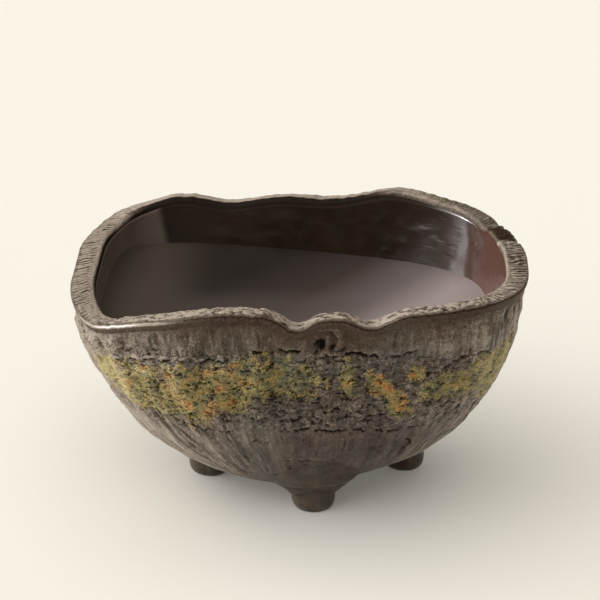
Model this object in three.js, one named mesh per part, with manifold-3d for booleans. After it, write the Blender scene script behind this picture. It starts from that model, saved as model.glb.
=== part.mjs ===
// A hand-built stoneware water planter: a rounded, slightly skewed rectangle in plan, with a torn wavy rim,
// bark-textured walls and four stub feet. The clay pieces that the potter luted together are kept apart:
// a floor slab, three courses of wall, a bark knot and the feet. Millimetres, +Z up, front towards -Y.
import * as THREE from 'three';
import Module from 'manifold-3d';
import { mergeVertices } from 'three/addons/utils/BufferGeometryUtils.js';

// Mouth of the pot, measured outside the wall
const RIM_WIDTH = 229;
const RIM_DEPTH_LEFT = 202;
const RIM_DEPTH_RIGHT = 164;
const RIM_SQUARENESS = 3.7;
const RIM_SKEW_DEG = -9.6;
const RIM_HEIGHT_LEFT = 121.5;
const RIM_HEIGHT_RIGHT = 140;

// Foot ring of the body, where the wall leaves the underside
const BASE_WIDTH = 134;
const BASE_DEPTH_LEFT = 102;
const BASE_DEPTH_RIGHT = 84;
const BASE_SQUARENESS = 1.55;
const BASE_SHIFT = { x: 4, y: 4 };
const UNDERSIDE_HEIGHT = 16;

// Walls and floor
const WALL_LEFT = 11.5;
const WALL_RIGHT = 9.6;
const FLOOR_THICKNESS = 12;
const FLOOR_INSET = 5;
const FLOOR_SQUARENESS = 2;
const SEAT_DEPTH = 1;

// Handles of the two wall curves, as shares of the run out (x) and up (z) from floor to rim
const OUTER_HANDLES = { x1: 0.395, z1: 0.165, x2: 0.916, z2: 0.496 };
const INNER_SIDE_HANDLES = { x1: 0.42, z1: 0.14, x2: 1.08, z2: 0.5 };
const INNER_FRONT_HANDLES = { x1: 0.36, z1: 0.14, x2: 0.78, z2: 0.5 };

// Courses of clay and the joints between them
const RIM_COURSE_HEIGHT = 18;
const LOWER_COURSE_TOP = 62;
const JOINT_GAP = 0.3;
const JOINT_SLOPE = 3;
const JOINT_WANDER = 1.6;

// Lip rolled over at the top of the wall
const LIP_PROUD = 1.5;
const LIP_DEPTH = 5;
const RIM_CROWN = 0.5;

// Rises and dips of the torn rim: place in degrees round the pot from +X, rise and half spread
const RIM_WAVES = [
  { at: 30, rise: -2.6, spread: 15 },
  { at: 46, rise: 1.2, spread: 8 },
  { at: 62, rise: 6.2, spread: 10 },
  { at: 91, rise: 1.6, spread: 9 },
  { at: 108, rise: -1.8, spread: 7 },
  { at: 121, rise: 3, spread: 8 },
  { at: 150, rise: -2, spread: 10 },
  { at: 176, rise: 2.8, spread: 10 },
  { at: 221, rise: -6, spread: 10 },
  { at: 254, rise: 4.6, spread: 14 },
  { at: 270.5, rise: -6.5, spread: 4 },
  { at: 288, rise: -5.6, spread: 4.5 },
  { at: 350, rise: 2.4, spread: 9 },
];

// Coarse comb grooves dragged across the top of the rim at its two ends, one to every other station
const COMB_GROOVES = 72;
const COMB_DEPTH = 0.8;

// Notch torn across the rim at the back right, with the lobe beside it pressed down
const NOTCH_AT = 27;
const NOTCH_WIDTH = 8;
const NOTCH_DEPTH = 5;
const NOTCH_NEAR_SPREAD = 1.2;
const NOTCH_FAR_SPREAD = 2;
const LOBE = { at: 31, rise: -1.6, spread: 2.5 };

// Coarse ridges of the bark relief: how far they lean round, break up and sway, as heights per radian
const BARK_RIDGES = 29;
const BARK_PROUD = 0.8;
const BARK_LEAN = 33;
const BARK_BREAK = 9;
const HAND_WOBBLE = 1;
const WOBBLE_RISE = 21;
const WOBBLE_FALL = 33;

// Strands of the bark: a second, closer set of ridges that meander and stand proudest on the end walls
const BARK_STRANDS = 38;
const STRAND_PROUD = 1.2;
const STRAND_FRONT_SHARE = 0.5;
const STRAND_LEAN = 27;
const STRAND_MEANDER = 17;

// Feet: a stub with a rounded tread that flares where it is luted to the body
const FOOT_RADIUS = 11.8;
const FOOT_TREAD_RADIUS = 8.6;
const FOOT_EDGE_HEIGHT = 6.5;
const FOOT_FLARE_RADIUS = 20;
const FRONT_FOOT_FLARE_RADIUS = 23;
const FOOT_ROOT_HEIGHT = 30;
const FRONT_FOOT_X = 10;
const FRONT_FOOT_Y = -35;
const LEFT_FOOT_X = -47;
const LEFT_FOOT_Y = 4;
const RIGHT_FOOT_X = 61;
const RIGHT_FOOT_Y = 10;
const BACK_FOOT_X = 8;
const BACK_FOOT_Y = 41;

// Bark knot under the front rim: a curl of clay round a slot
const KNOT_AT = 278;
const KNOT_DROP = 11;
const KNOT_RADIUS = 6.2;
const KNOT_THICKNESS = 4.4;
const KNOT_TALLNESS = 1.1;
const KNOT_START_DEG = -70;
const KNOT_SWEEP_DEG = 250;
const SLOT_WIDTH = 4.6;
const SLOT_HEIGHT = 6;
const SLOT_DEPTH = 3.5;
const SLOT_ASIDE = 3.7;
const SLOT_BELOW = 0.7;

// Fineness of the facets
const STATIONS = 144;
const WALL_ROWS = 5;
const INNER_ROWS = 4;
const RIM_FACE_ROWS = 3;
const FOOT_SIDES = 28;
const FOOT_EDGE_ROWS = 3;
const FOOT_FLARE_ROWS = 5;

const FLOOR_TOP = UNDERSIDE_HEIGHT + FLOOR_THICKNESS;
const SEAT_HEIGHT = FLOOR_TOP - SEAT_DEPTH;
const wasm = await Module();
wasm.setup();

const radians = THREE.MathUtils.degToRad;
const mix = THREE.MathUtils.lerp;

// Point of a rounded rectangle whose depth runs from left to right and whose long axis is skewed
function plan(angle, width, depthLeft, depthRight, squareness) {
  const c = Math.cos(angle);
  const s = Math.sin(angle);
  const reach = (Math.abs(c) ** squareness + Math.abs(s) ** squareness) ** (-1 / squareness);
  const across = reach * c;
  const depth = mix(depthLeft, depthRight, (across + 1) / 2);
  return new THREE.Vector2((across * width) / 2, (reach * s * depth) / 2);
}

function rimPlan(angle) {
  const p = plan(angle, RIM_WIDTH, RIM_DEPTH_LEFT, RIM_DEPTH_RIGHT, RIM_SQUARENESS);
  return p.set(p.x, p.y + p.x * Math.tan(radians(RIM_SKEW_DEG)));
}

function basePlan(angle, inset = 0, squareness = BASE_SQUARENESS) {
  const width = BASE_WIDTH - 2 * inset;
  const p = plan(angle, width, BASE_DEPTH_LEFT - 2 * inset, BASE_DEPTH_RIGHT - 2 * inset, squareness);
  return p.set(p.x + BASE_SHIFT.x, p.y + BASE_SHIFT.y);
}

// Outward direction of the rim in plan
function rimNormal(angle) {
  const step = 0.02;
  const run = rimPlan(angle + step).sub(rimPlan(angle - step)).normalize();
  return new THREE.Vector2(run.y, -run.x);
}

const rightness = (angle) => rimPlan(angle).x / RIM_WIDTH + 0.5;
const meanRimHeight = (angle) => mix(RIM_HEIGHT_LEFT, RIM_HEIGHT_RIGHT, rightness(angle));
const wallThickness = (angle) => mix(WALL_LEFT, WALL_RIGHT, rightness(angle));

// Bell-shaped rise of one wave of the rim, round the full circle
function waveRise(wave, angle) {
  const turn = THREE.MathUtils.euclideanModulo(THREE.MathUtils.radToDeg(angle) - wave.at + 180, 360) - 180;
  return wave.rise * Math.exp(-((turn / wave.spread) ** 2));
}

function rimHeight(angle) {
  const waves = [...RIM_WAVES, LOBE];
  return meanRimHeight(angle) + waves.reduce((sum, wave) => sum + waveRise(wave, angle), 0);
}

// Share of the way out at a share of the way up, on a cubic curve from (0, 0) to (1, 1)
function curveOut(up, handles) {
  const cubic = (t, a, b) => 3 * (1 - t) ** 2 * t * a + 3 * (1 - t) * t * t * b + t ** 3;
  if (up >= 1) return 1 + ((up - 1) * (1 - handles.x2)) / (1 - handles.z2);
  let low = 0;
  let high = 1;
  for (let i = 0; i < 30; i += 1) {
    const middle = (low + high) / 2;
    if (cubic(middle, handles.z1, handles.z2) < up) low = middle;
    else high = middle;
  }
  return cubic((low + high) / 2, handles.x1, handles.x2);
}

// Height of the surface of the bark, fading out towards the lip and the underside
function barkRelief(angle, z) {
  const below = THREE.MathUtils.smoothstep(rimHeight(angle) - z, LIP_DEPTH, 2 * LIP_DEPTH);
  const above = THREE.MathUtils.smoothstep(z, FLOOR_TOP, FLOOR_TOP + RIM_COURSE_HEIGHT);
  const ridges = Math.sin(BARK_RIDGES * angle + z / BARK_LEAN + 2 * Math.sin(5 * angle));
  const broken = 0.6 + 0.4 * Math.sin(7 * angle + z / BARK_BREAK);
  const sway = Math.sin(3 * angle + z / WOBBLE_RISE) * Math.cos(5 * angle - z / WOBBLE_FALL);
  const meander = 2.5 * Math.sin(3 * angle) + Math.sin(8 * angle + z / STRAND_MEANDER);
  const strands = Math.sin(BARK_STRANDS * angle - z / STRAND_LEAN + meander);
  const strength = STRAND_PROUD * mix(STRAND_FRONT_SHARE, 1, rimNormal(angle).x ** 2);
  return below * above * (BARK_PROUD * ridges * broken + HAND_WOBBLE * sway + strength * strands);
}

function outerPoint(angle, z, proud = 0) {
  const up = (z - UNDERSIDE_HEIGHT) / (meanRimHeight(angle) - UNDERSIDE_HEIGHT);
  const out = curveOut(up, OUTER_HANDLES);
  const p = basePlan(angle).lerp(rimPlan(angle), out);
  p.addScaledVector(rimNormal(angle), barkRelief(angle, z) + proud);
  return new THREE.Vector3(p.x, p.y, z);
}

function innerPoint(angle, z) {
  const normal = rimNormal(angle);
  const up = (z - FLOOR_TOP) / (meanRimHeight(angle) - FLOOR_TOP);
  const side = curveOut(up, INNER_SIDE_HANDLES);
  const front = curveOut(up, INNER_FRONT_HANDLES);
  const out = mix(front, side, normal.x ** 2);
  const rim = rimPlan(angle).addScaledVector(normal, -wallThickness(angle));
  const p = basePlan(angle, FLOOR_INSET, FLOOR_SQUARENESS).lerp(rim, out);
  return new THREE.Vector3(p.x, p.y, z);
}

// Height of a joint between courses, which wanders a little round the pot
const wander = (angle) => JOINT_WANDER * Math.sin(4 * angle + 1) * Math.cos(7 * angle);
const lowerJoint = (angle) => LOWER_COURSE_TOP + wander(angle);
const upperJoint = (angle) => meanRimHeight(angle) - RIM_COURSE_HEIGHT + wander(angle + 1);

// Geometry from a list of vertex loops round the pot, each joined to the next. The ring that closes a course
// is its lower joint, and is split along the other diagonal, so that it lies parallel to the course below.
function skin(loops, closed) {
  const count = loops[0].length;
  const points = loops.flat();
  const index = [];
  const last = closed ? loops.length : loops.length - 1;
  for (let row = 0; row < last; row += 1) {
    const next = (row + 1) % loops.length;
    for (let i = 0; i < count; i += 1) {
      const j = (i + 1) % count;
      const [a, b, c, d] = [row * count + i, row * count + j, next * count + j, next * count + i];
      if (next > row) index.push(a, b, c, a, c, d);
      else index.push(a, b, d, b, c, d);
    }
  }
  if (!closed) {
    for (const [row, flip] of [[0, true], [loops.length - 1, false]]) {
      const middle = points.length;
      points.push(loops[row].reduce((sum, p) => sum.add(p), new THREE.Vector3()).divideScalar(count));
      for (let i = 0; i < count; i += 1) {
        const rim = [row * count + i, row * count + ((i + 1) % count)];
        index.push(middle, ...(flip ? rim.reverse() : rim));
      }
    }
  }
  const geometry = new THREE.BufferGeometry().setFromPoints(points);
  geometry.setIndex(index);
  return geometry;
}

const ANGLES = Array.from({ length: STATIONS }, (_, i) => (2 * Math.PI * i) / STATIONS);
const loop = (pointAt) => ANGLES.map(pointAt);
const shares = (rows) => Array.from({ length: rows + 1 }, (_, i) => i / rows);

function toSolid(geometry) {
  const bare = geometry.clone();
  bare.deleteAttribute('normal');
  bare.deleteAttribute('uv');
  const merged = mergeVertices(bare, 1e-4);
  const vertProperties = new Float32Array(merged.attributes.position.array);
  const triVerts = new Uint32Array(merged.index.array);
  return new wasm.Manifold(new wasm.Mesh({ numProp: 3, vertProperties, triVerts }));
}

function toGeometry(solid) {
  const mesh = solid.getMesh();
  const geometry = new THREE.BufferGeometry();
  geometry.setAttribute('position', new THREE.BufferAttribute(mesh.vertProperties, 3));
  geometry.setIndex(new THREE.BufferAttribute(mesh.triVerts, 1));
  return geometry;
}

// Heights of the rows of the outer face, from the underside to the lip, as functions of the angle
const halfGap = JOINT_GAP / 2;
const rowsBetween = (bottom, top, rows) => shares(rows).map((share) => (a) => mix(bottom(a), top(a), share));
const SLAB_ROWS = rowsBetween(() => UNDERSIDE_HEIGHT, () => SEAT_HEIGHT, 2);
const LOWER_ROWS = rowsBetween(() => SEAT_HEIGHT + JOINT_GAP, (a) => lowerJoint(a) - halfGap, WALL_ROWS);
const BARK_ROWS = rowsBetween((a) => lowerJoint(a) + halfGap, (a) => upperJoint(a) - halfGap, WALL_ROWS);
const RIM_ROWS = rowsBetween((a) => upperJoint(a) + halfGap, (a) => rimHeight(a) - LIP_DEPTH, RIM_FACE_ROWS);

// The rolled lip: how far down from the top each row lies and how proud it stands, as shares
const LIP_ROWS = [
  { drop: 0.5, proud: 1 },
  { drop: 0.16, proud: 0.8 },
];
const lipLoop = ({ drop, proud }, skinDepth = 0) => (
  loop((a) => outerPoint(a, rimHeight(a) - drop * LIP_DEPTH, proud * LIP_PROUD + skinDepth)));

// A course of wall between two joints: outer face going up, inner face coming down
function courseGeometry(rows, slopeBottom) {
  const bottom = rows[0];
  const top = rows[rows.length - 1];
  const outer = rows.map((height) => loop((a) => outerPoint(a, height(a))));
  const inner = shares(INNER_ROWS).map((share) => (
    loop((a) => innerPoint(a, mix(top(a) + JOINT_SLOPE, bottom(a) + slopeBottom, share)))));
  return skin([...outer, ...inner], true);
}

// The floor slab: its edge carries on the outer face of the wall, which seats in a rebate round its flat top
function slabGeometry() {
  const outer = SLAB_ROWS.map((height) => loop((a) => outerPoint(a, height(a))));
  const step = [SEAT_HEIGHT, FLOOR_TOP].map((z) => loop((a) => {
    const p = basePlan(a, FLOOR_INSET + JOINT_GAP, FLOOR_SQUARENESS);
    return new THREE.Vector3(p.x, p.y, z);
  }));
  return skin([...outer, ...step], false);
}

// Depth of the comb grooves, which fade out towards the front and the back
function combDepth(angle) {
  const here = THREE.MathUtils.smoothstep(rimNormal(angle).x ** 2, 0.2, 0.8);
  return COMB_DEPTH * here * (0.5 - 0.5 * Math.cos(COMB_GROOVES * angle));
}

// The rim course: outer face, rolled lip, crowned and combed top and inner face
function rimGeometry() {
  const outer = RIM_ROWS.map((height) => loop((a) => outerPoint(a, height(a))));
  const lip = LIP_ROWS.map((row) => lipLoop(row));
  const across = [[0.12, 0, 1], [0.5, 1, 1], [0.88, 0, 0]].map(([share, crown, combed]) => loop((a) => {
    const z = rimHeight(a) + crown * RIM_CROWN - combed * combDepth(a);
    return outerPoint(a, z).lerp(innerPoint(a, z), share);
  }));
  const edge = (a) => rimHeight(a) - 0.3 * LIP_DEPTH;
  const bottom = (a) => RIM_ROWS[0](a) + JOINT_SLOPE;
  const inner = shares(INNER_ROWS - 1).map((share) => (
    loop((a) => innerPoint(a, mix(edge(a), bottom(a), share)))));
  return skin([...outer, ...lip, ...across, ...inner], true);
}

// Frame on the outer face: origin on the wall, x along it, y into the clay, z up
function wallFrame(degrees, z) {
  const angle = radians(degrees);
  const normal = rimNormal(angle);
  const frame = new THREE.Matrix4().makeRotationZ(Math.atan2(normal.y, normal.x) + Math.PI / 2);
  return frame.setPosition(outerPoint(angle, z));
}

// A V-shaped wedge that runs through the wall at the notch
function notchCutter() {
  const reach = 2 * WALL_LEFT;
  const top = NOTCH_DEPTH * 2;
  const half = NOTCH_WIDTH / 2;
  const outline = new THREE.Shape();
  outline.moveTo(0, -NOTCH_DEPTH);
  outline.lineTo(half * NOTCH_FAR_SPREAD, top);
  outline.lineTo(-half * NOTCH_NEAR_SPREAD, top);
  outline.closePath();
  const wedge = new THREE.ExtrudeGeometry(outline, { depth: 2 * reach, bevelEnabled: false });
  wedge.rotateX(Math.PI / 2);
  wedge.translate(0, reach, 0);
  return wedge.applyMatrix4(wallFrame(NOTCH_AT, rimHeight(radians(NOTCH_AT))));
}

// The slot inside the knot, with round ends
function slotCutter() {
  const half = SLOT_WIDTH / 2;
  const straight = SLOT_HEIGHT / 2 - half;
  const outline = new THREE.Shape();
  outline.absarc(0, straight, half, 0, Math.PI, false);
  outline.absarc(0, -straight, half, Math.PI, 2 * Math.PI, false);
  const options = { depth: 2 * SLOT_DEPTH, bevelEnabled: false, curveSegments: 5 };
  const slot = new THREE.ExtrudeGeometry(outline, options);
  slot.rotateX(Math.PI / 2);
  slot.translate(-SLOT_ASIDE, SLOT_DEPTH, -SLOT_BELOW);
  return slot.applyMatrix4(wallFrame(KNOT_AT, meanRimHeight(radians(KNOT_AT)) - KNOT_DROP));
}

// The curl of the knot: a round coil of clay that follows an open ring lying on the wall
function knotGeometry() {
  const turns = 18;
  const points = shares(turns).map((share) => {
    const angle = radians(KNOT_START_DEG + KNOT_SWEEP_DEG * share);
    const up = KNOT_TALLNESS * KNOT_RADIUS * Math.sin(angle);
    return new THREE.Vector3(KNOT_RADIUS * Math.cos(angle), 0, up);
  });
  const section = new THREE.Shape();
  section.absarc(0, 0, KNOT_THICKNESS / 2, 0, 2 * Math.PI, false);
  const extrudePath = new THREE.CatmullRomCurve3(points);
  const curl = new THREE.ExtrudeGeometry(section, { steps: turns, extrudePath, curveSegments: 8 });
  return curl.applyMatrix4(wallFrame(KNOT_AT, meanRimHeight(radians(KNOT_AT)) - KNOT_DROP));
}

// The whole body with a skin of one joint gap, which cuts the seats of the feet and the knot
function bodyCutter() {
  const under = loop((a) => outerPoint(a, UNDERSIDE_HEIGHT, JOINT_GAP).setZ(UNDERSIDE_HEIGHT - JOINT_GAP));
  const heights = [...SLAB_ROWS.slice(1), ...LOWER_ROWS.slice(1), ...BARK_ROWS.slice(1), ...RIM_ROWS.slice(1)];
  const face = heights.map((height) => loop((a) => outerPoint(a, height(a), JOINT_GAP)));
  const lip = LIP_ROWS.map((row) => lipLoop(row, JOINT_GAP));
  return toSolid(skin([under, ...face, ...lip], false));
}

// One foot: a turned stub whose tread is rounded by a quarter oval and whose root flares in an S curve
function footGeometry(flareRadius) {
  const edge = shares(FOOT_EDGE_ROWS).map((share) => {
    const turn = (share * Math.PI) / 2;
    const radius = mix(FOOT_TREAD_RADIUS, FOOT_RADIUS, Math.sin(turn));
    return new THREE.Vector2(radius, FOOT_EDGE_HEIGHT * (1 - Math.cos(turn)));
  });
  const flare = shares(FOOT_FLARE_ROWS).slice(1).map((share) => {
    const radius = mix(FOOT_RADIUS, flareRadius, THREE.MathUtils.smoothstep(share, 0, 1));
    return new THREE.Vector2(radius, mix(FOOT_EDGE_HEIGHT, FOOT_ROOT_HEIGHT, share));
  });
  const profile = [new THREE.Vector2(0, 0), ...edge, ...flare, new THREE.Vector2(0, FOOT_ROOT_HEIGHT)];
  return new THREE.LatheGeometry(profile, FOOT_SIDES).rotateX(Math.PI / 2);
}

const clay = (color, roughness) => new THREE.MeshStandardMaterial({ color, roughness, metalness: 0 });
const BARK_BROWN = '#675d50';
const SMOOTH_BROWN = '#594d42';
const FOOT_BROWN = '#4a3f36';
const MOSS_OCHRE = '#76613a';

const pot = new THREE.Group();

function add(name, geometry, material) {
  const mesh = new THREE.Mesh(geometry, material);
  mesh.name = name;
  pot.add(mesh);
  return mesh;
}

add('floor_slab', slabGeometry(), clay(FOOT_BROWN, 0.55));
add('lower_wall', courseGeometry(LOWER_ROWS, 0), clay(SMOOTH_BROWN, 0.5));
add('bark_wall', courseGeometry(BARK_ROWS, JOINT_SLOPE), clay(MOSS_OCHRE, 0.7));
const rim = toSolid(rimGeometry()).subtract(toSolid(notchCutter())).subtract(toSolid(slotCutter()));
add('rim_band', toGeometry(rim), clay(BARK_BROWN, 0.6));

const seat = bodyCutter();
add('bark_knot', toGeometry(toSolid(knotGeometry()).subtract(seat)), clay(BARK_BROWN, 0.6));

function addFoot(name, x, y, flareRadius = FOOT_FLARE_RADIUS) {
  const foot = toSolid(footGeometry(flareRadius).translate(x, y, 0));
  add(name, toGeometry(foot.subtract(seat)), clay(FOOT_BROWN, 0.5));
}
addFoot('foot_front', FRONT_FOOT_X, FRONT_FOOT_Y, FRONT_FOOT_FLARE_RADIUS);
addFoot('foot_left', LEFT_FOOT_X, LEFT_FOOT_Y);
addFoot('foot_right', RIGHT_FOOT_X, RIGHT_FOOT_Y);
addFoot('foot_back', BACK_FOOT_X, BACK_FOOT_Y);

// The pot stands on the ground plane, centred over the origin
const box = new THREE.Box3().setFromObject(pot);
const middle = box.getCenter(new THREE.Vector3());
pot.position.set(-middle.x, -middle.y, -box.min.z);

export default pot;
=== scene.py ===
"""Dresses a hand-built stoneware water planter in its fired surface.

The pot is a rounded, slightly skewed rectangle in plan, with a torn and combed rim, bark-textured walls that
carry patches of moss-coloured glaze, a glossy bowl and four stub feet. Every length in the classes is in
millimetres from the centre of the rim, with the front towards -Y, and MM turns it into metres in the mesh.
"""

from __future__ import annotations

import logging
import math
from dataclasses import dataclass
from enum import Enum

import bpy
import numpy as np
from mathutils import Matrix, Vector

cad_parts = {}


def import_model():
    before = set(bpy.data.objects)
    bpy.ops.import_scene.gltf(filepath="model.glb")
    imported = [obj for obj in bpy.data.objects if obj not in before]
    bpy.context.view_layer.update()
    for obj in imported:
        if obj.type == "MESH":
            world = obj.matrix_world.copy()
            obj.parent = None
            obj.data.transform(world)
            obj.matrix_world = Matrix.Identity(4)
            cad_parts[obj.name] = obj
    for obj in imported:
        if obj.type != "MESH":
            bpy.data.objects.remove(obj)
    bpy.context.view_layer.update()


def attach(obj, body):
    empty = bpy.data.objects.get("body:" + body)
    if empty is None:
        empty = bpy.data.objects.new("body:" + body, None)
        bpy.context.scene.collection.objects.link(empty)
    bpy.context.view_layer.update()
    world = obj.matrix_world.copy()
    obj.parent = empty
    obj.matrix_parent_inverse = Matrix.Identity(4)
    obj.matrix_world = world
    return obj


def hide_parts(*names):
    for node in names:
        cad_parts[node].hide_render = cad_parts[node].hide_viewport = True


Array = np.ndarray
Colour = tuple[float, float, float]

MM = 0.001
POT_SHIFT = (0.027, -5.124, 0.0)  # from the centre of the rim to the frame's origin
log = logging.getLogger("planter")


class Layer(Enum):
    """Mesh attributes that carry what the surface is at each point: its relief, its cover of moss-coloured
    glaze, how ochre that is, its tone, which also carries painted light and shade, and how far it is bark. The
    glaze in the bowl has its own use of them, with painted light in its tone and a painted reflection and
    painted light in its ochre layer."""

    RELIEF = "relief"
    MOSS = "moss"
    OCHRE = "ochre"
    TONE = "tone"
    BARK = "bark"


def mix(low: Array | float, high: Array | float, share: Array | float) -> Array | float:
    """Straight blend from low to high by a share of 0 to 1."""
    return low + (high - low) * share


def smooth(value: Array, low: float | Array, high: float | Array) -> Array:
    """Share of the way from low to high, eased at both ends by the cubic 3t^2 - 2t^3."""
    share = np.clip((value - low) / (high - low), 0, 1)
    return share * share * (3 - 2 * share)


def bell(value: Array, spread: float) -> Array:
    """Bell curve exp(-(v / spread)^2)."""
    return np.exp(-((value / spread) ** 2))


def turn_from(angle: Array, degrees: float) -> Array:
    """Signed turn in degrees from a place round the pot to each angle, within half a circle."""
    return (np.degrees(angle) - degrees + 180) % 360 - 180


def near(angle: Array, at: float, spread: float) -> Array:
    """Bell curve round a place on the pot: 1 at so many degrees and fading over the spread."""
    return bell(turn_from(angle, at), spread)


class Grain(Enum):
    """Grains of drawn-out noise in the clay: the turn in radians that sets each apart, the size of its marks
    across and down in mm and, for those that lean, the drift round the pot for each mm of height."""

    FINE = (0.0, 1.5, 11)
    FINEST = (0.0, 0.9, 5)
    RIBS = (0.5, 3.6, 34, 0.12)
    DEEP_RIBS = (0.7, 6.5, 60, 0.2)
    RIDGES = (4.7, 5.2, 40, 0.16)
    FLAKES = (0.9, 3.4, 1.9)
    NICKS = (1.1, 1.6, 4.5)
    BRUSHED_NICKS = (3.1, 1.3, 6)
    STREAKS = (2.1, 3.2, 26)
    BROAD_STREAKS = (2.2, 9, 50)
    DRIPS = (3.4, 2.6, 9)
    LEVEL_CUTS = (1.3, 5.5, 2.2)
    STEEP_CUTS = (1.7, 2.8, 24, 0.12)
    LONG_CUTS = (1.9, 4.6, 40, 0.16)
    SCRATCHES = (2.5, 2.0, 26, 0.12)
    RAGGED_BAND = (8.0, 3.0, 9)
    GLINTS = (9.0, 2.5, 8)
    PATCH_FRAY = (0.0, 6, 8)
    FINE_FRAY = (1.0, 2.2, 3.0)
    LOOSE_FRAY = (11.0, 15, 13)
    HUE = (2.0, 7, 6)
    FINE_HUE = (3.0, 2.2, 2.4)
    CRACK_BEND = (4.0, 3.2, 30)
    CRACK_JAGS = (5.0, 1.2, 30)
    CRACK_GAPS = (6.0, 4, 40)
    KNOT_SWAY = (7.0, 2.2, 2.6)
    KNOT_RISE = (7.3, 1.6, 3.0)
    EDGE = (0.0, 5, 10)
    FINE_EDGE = (1.0, 1.8, 10)
    COMB_SHAKE = (0.0, 7, 9)
    FINE_COMB_SHAKE = (1.0, 2.4, 4)
    COMB_BREAKS = (2.0, 3.5, 4)
    TORN = (3.0, 4.5, 1.2)
    FINE_TORN = (4.0, 1.6, 0.9)
    HOLES = (5.0, 2.6, 1.2)
    SOFT_LUMPS = (6.0, 14, 8)
    RIM_MOSS = (7.0, 6, 5)
    WORN_EDGE = (8.0, 2.5, 9)
    RIM_PITS = (9.0, 1.5, 1.5)
    RIPPLE = (0.0, 26, 14)
    FINE_RIPPLE = (1.0, 9, 5)


class ClayNoise:
    """Smooth seeded noise in space, about -1 to 1: gradients on a lattice, blended by a quintic."""

    def __init__(self, seed: int) -> None:
        """Draws the lattice's gradients.

        Args:
            seed: seed of the draw, so that each run gives the same clay.
        """
        draw = np.random.default_rng(seed)
        self.order = np.tile(draw.permutation(256), 3)
        arrows = draw.normal(size=(256, 3))
        self.arrows = (arrows / np.linalg.norm(arrows, axis=1, keepdims=True)).astype(np.float32)

    def __call__(self, x: Array, y: Array, z: Array) -> Array:
        """Noise at points: the dot products of the eight corner gradients, blended by 6t^5 - 15t^4 + 10t^3.

        Args:
            x: first coordinate, in lattice cells.
            y: second coordinate.
            z: third coordinate.

        Returns:
            One value a point, about -1 to 1.
        """
        points = np.stack(np.broadcast_arrays(x, y, z), -1).astype(np.float32)
        cell = np.floor(points)
        inside = points - cell
        corner0 = cell.astype(np.int64) & 255
        ease = inside**3 * (inside * (inside * 6 - 15) + 10)
        total = np.zeros(points.shape[:-1], np.float32)
        for corner in np.ndindex(2, 2, 2):
            step = np.array(corner)
            at = (corner0 + step) & 255
            pick = self.order[self.order[self.order[at[..., 0]] + at[..., 1]] + at[..., 2]]
            dot = np.einsum("...i,...i->...", self.arrows[pick], inside - step.astype(np.float32))
            share = np.where(step == 1, ease, 1 - ease)
            total += dot * share[..., 0] * share[..., 1] * share[..., 2]
        return total * 1.55

    def rough(self, points: Array, cell: float, octaves: int = 3) -> Array:
        """Sum of octaves of noise, each of half the size and half the strength.

        Args:
            points: places in mm, with three values each.
            cell: size of the largest lumps in mm.
            octaves: how many sizes are summed.

        Returns:
            One value a point, about -1 to 1.
        """
        total = np.zeros(points.shape[:-1])
        for octave in range(octaves):
            scaled = points * (2**octave / cell) + 17.3 * octave
            total += self(scaled[..., 0], scaled[..., 1], scaled[..., 2]) / 2**octave
        return total


CLAY_SEED = 41
NOISE = ClayNoise(CLAY_SEED)


@dataclass(frozen=True)
class Swell:
    """A rise or dip at one place round the pot: its place and half spread in degrees, and its height."""

    at: float
    rise: float
    spread: float

    def over(self, angle: Array) -> Array:
        """What it adds at each angle: a bell curve round its place."""
        return self.rise * near(angle, self.at, self.spread)


@dataclass(frozen=True)
class Handles:
    """Handles of a cubic curve from (0, 0) to (1, 1), as shares out (x) and up (z)."""

    x1: float
    z1: float
    x2: float
    z2: float

    def out(self, up: Array) -> Array:
        """Share of the way out at a share of the way up.

        Args:
            up: shares of the height, where a value over 1 carries on along the last tangent.

        Returns:
            Shares of the way out.
        """
        t = np.linspace(0, 1, 1001)
        first, second, third = 3 * (1 - t) ** 2 * t, 3 * (1 - t) * t * t, t**3
        rise = first * self.z1 + second * self.z2 + third
        run = first * self.x1 + second * self.x2 + third
        return np.where(up > 1, 1 + (up - 1) * (1 - self.x2) / (1 - self.z2), np.interp(up, rise, run))


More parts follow.
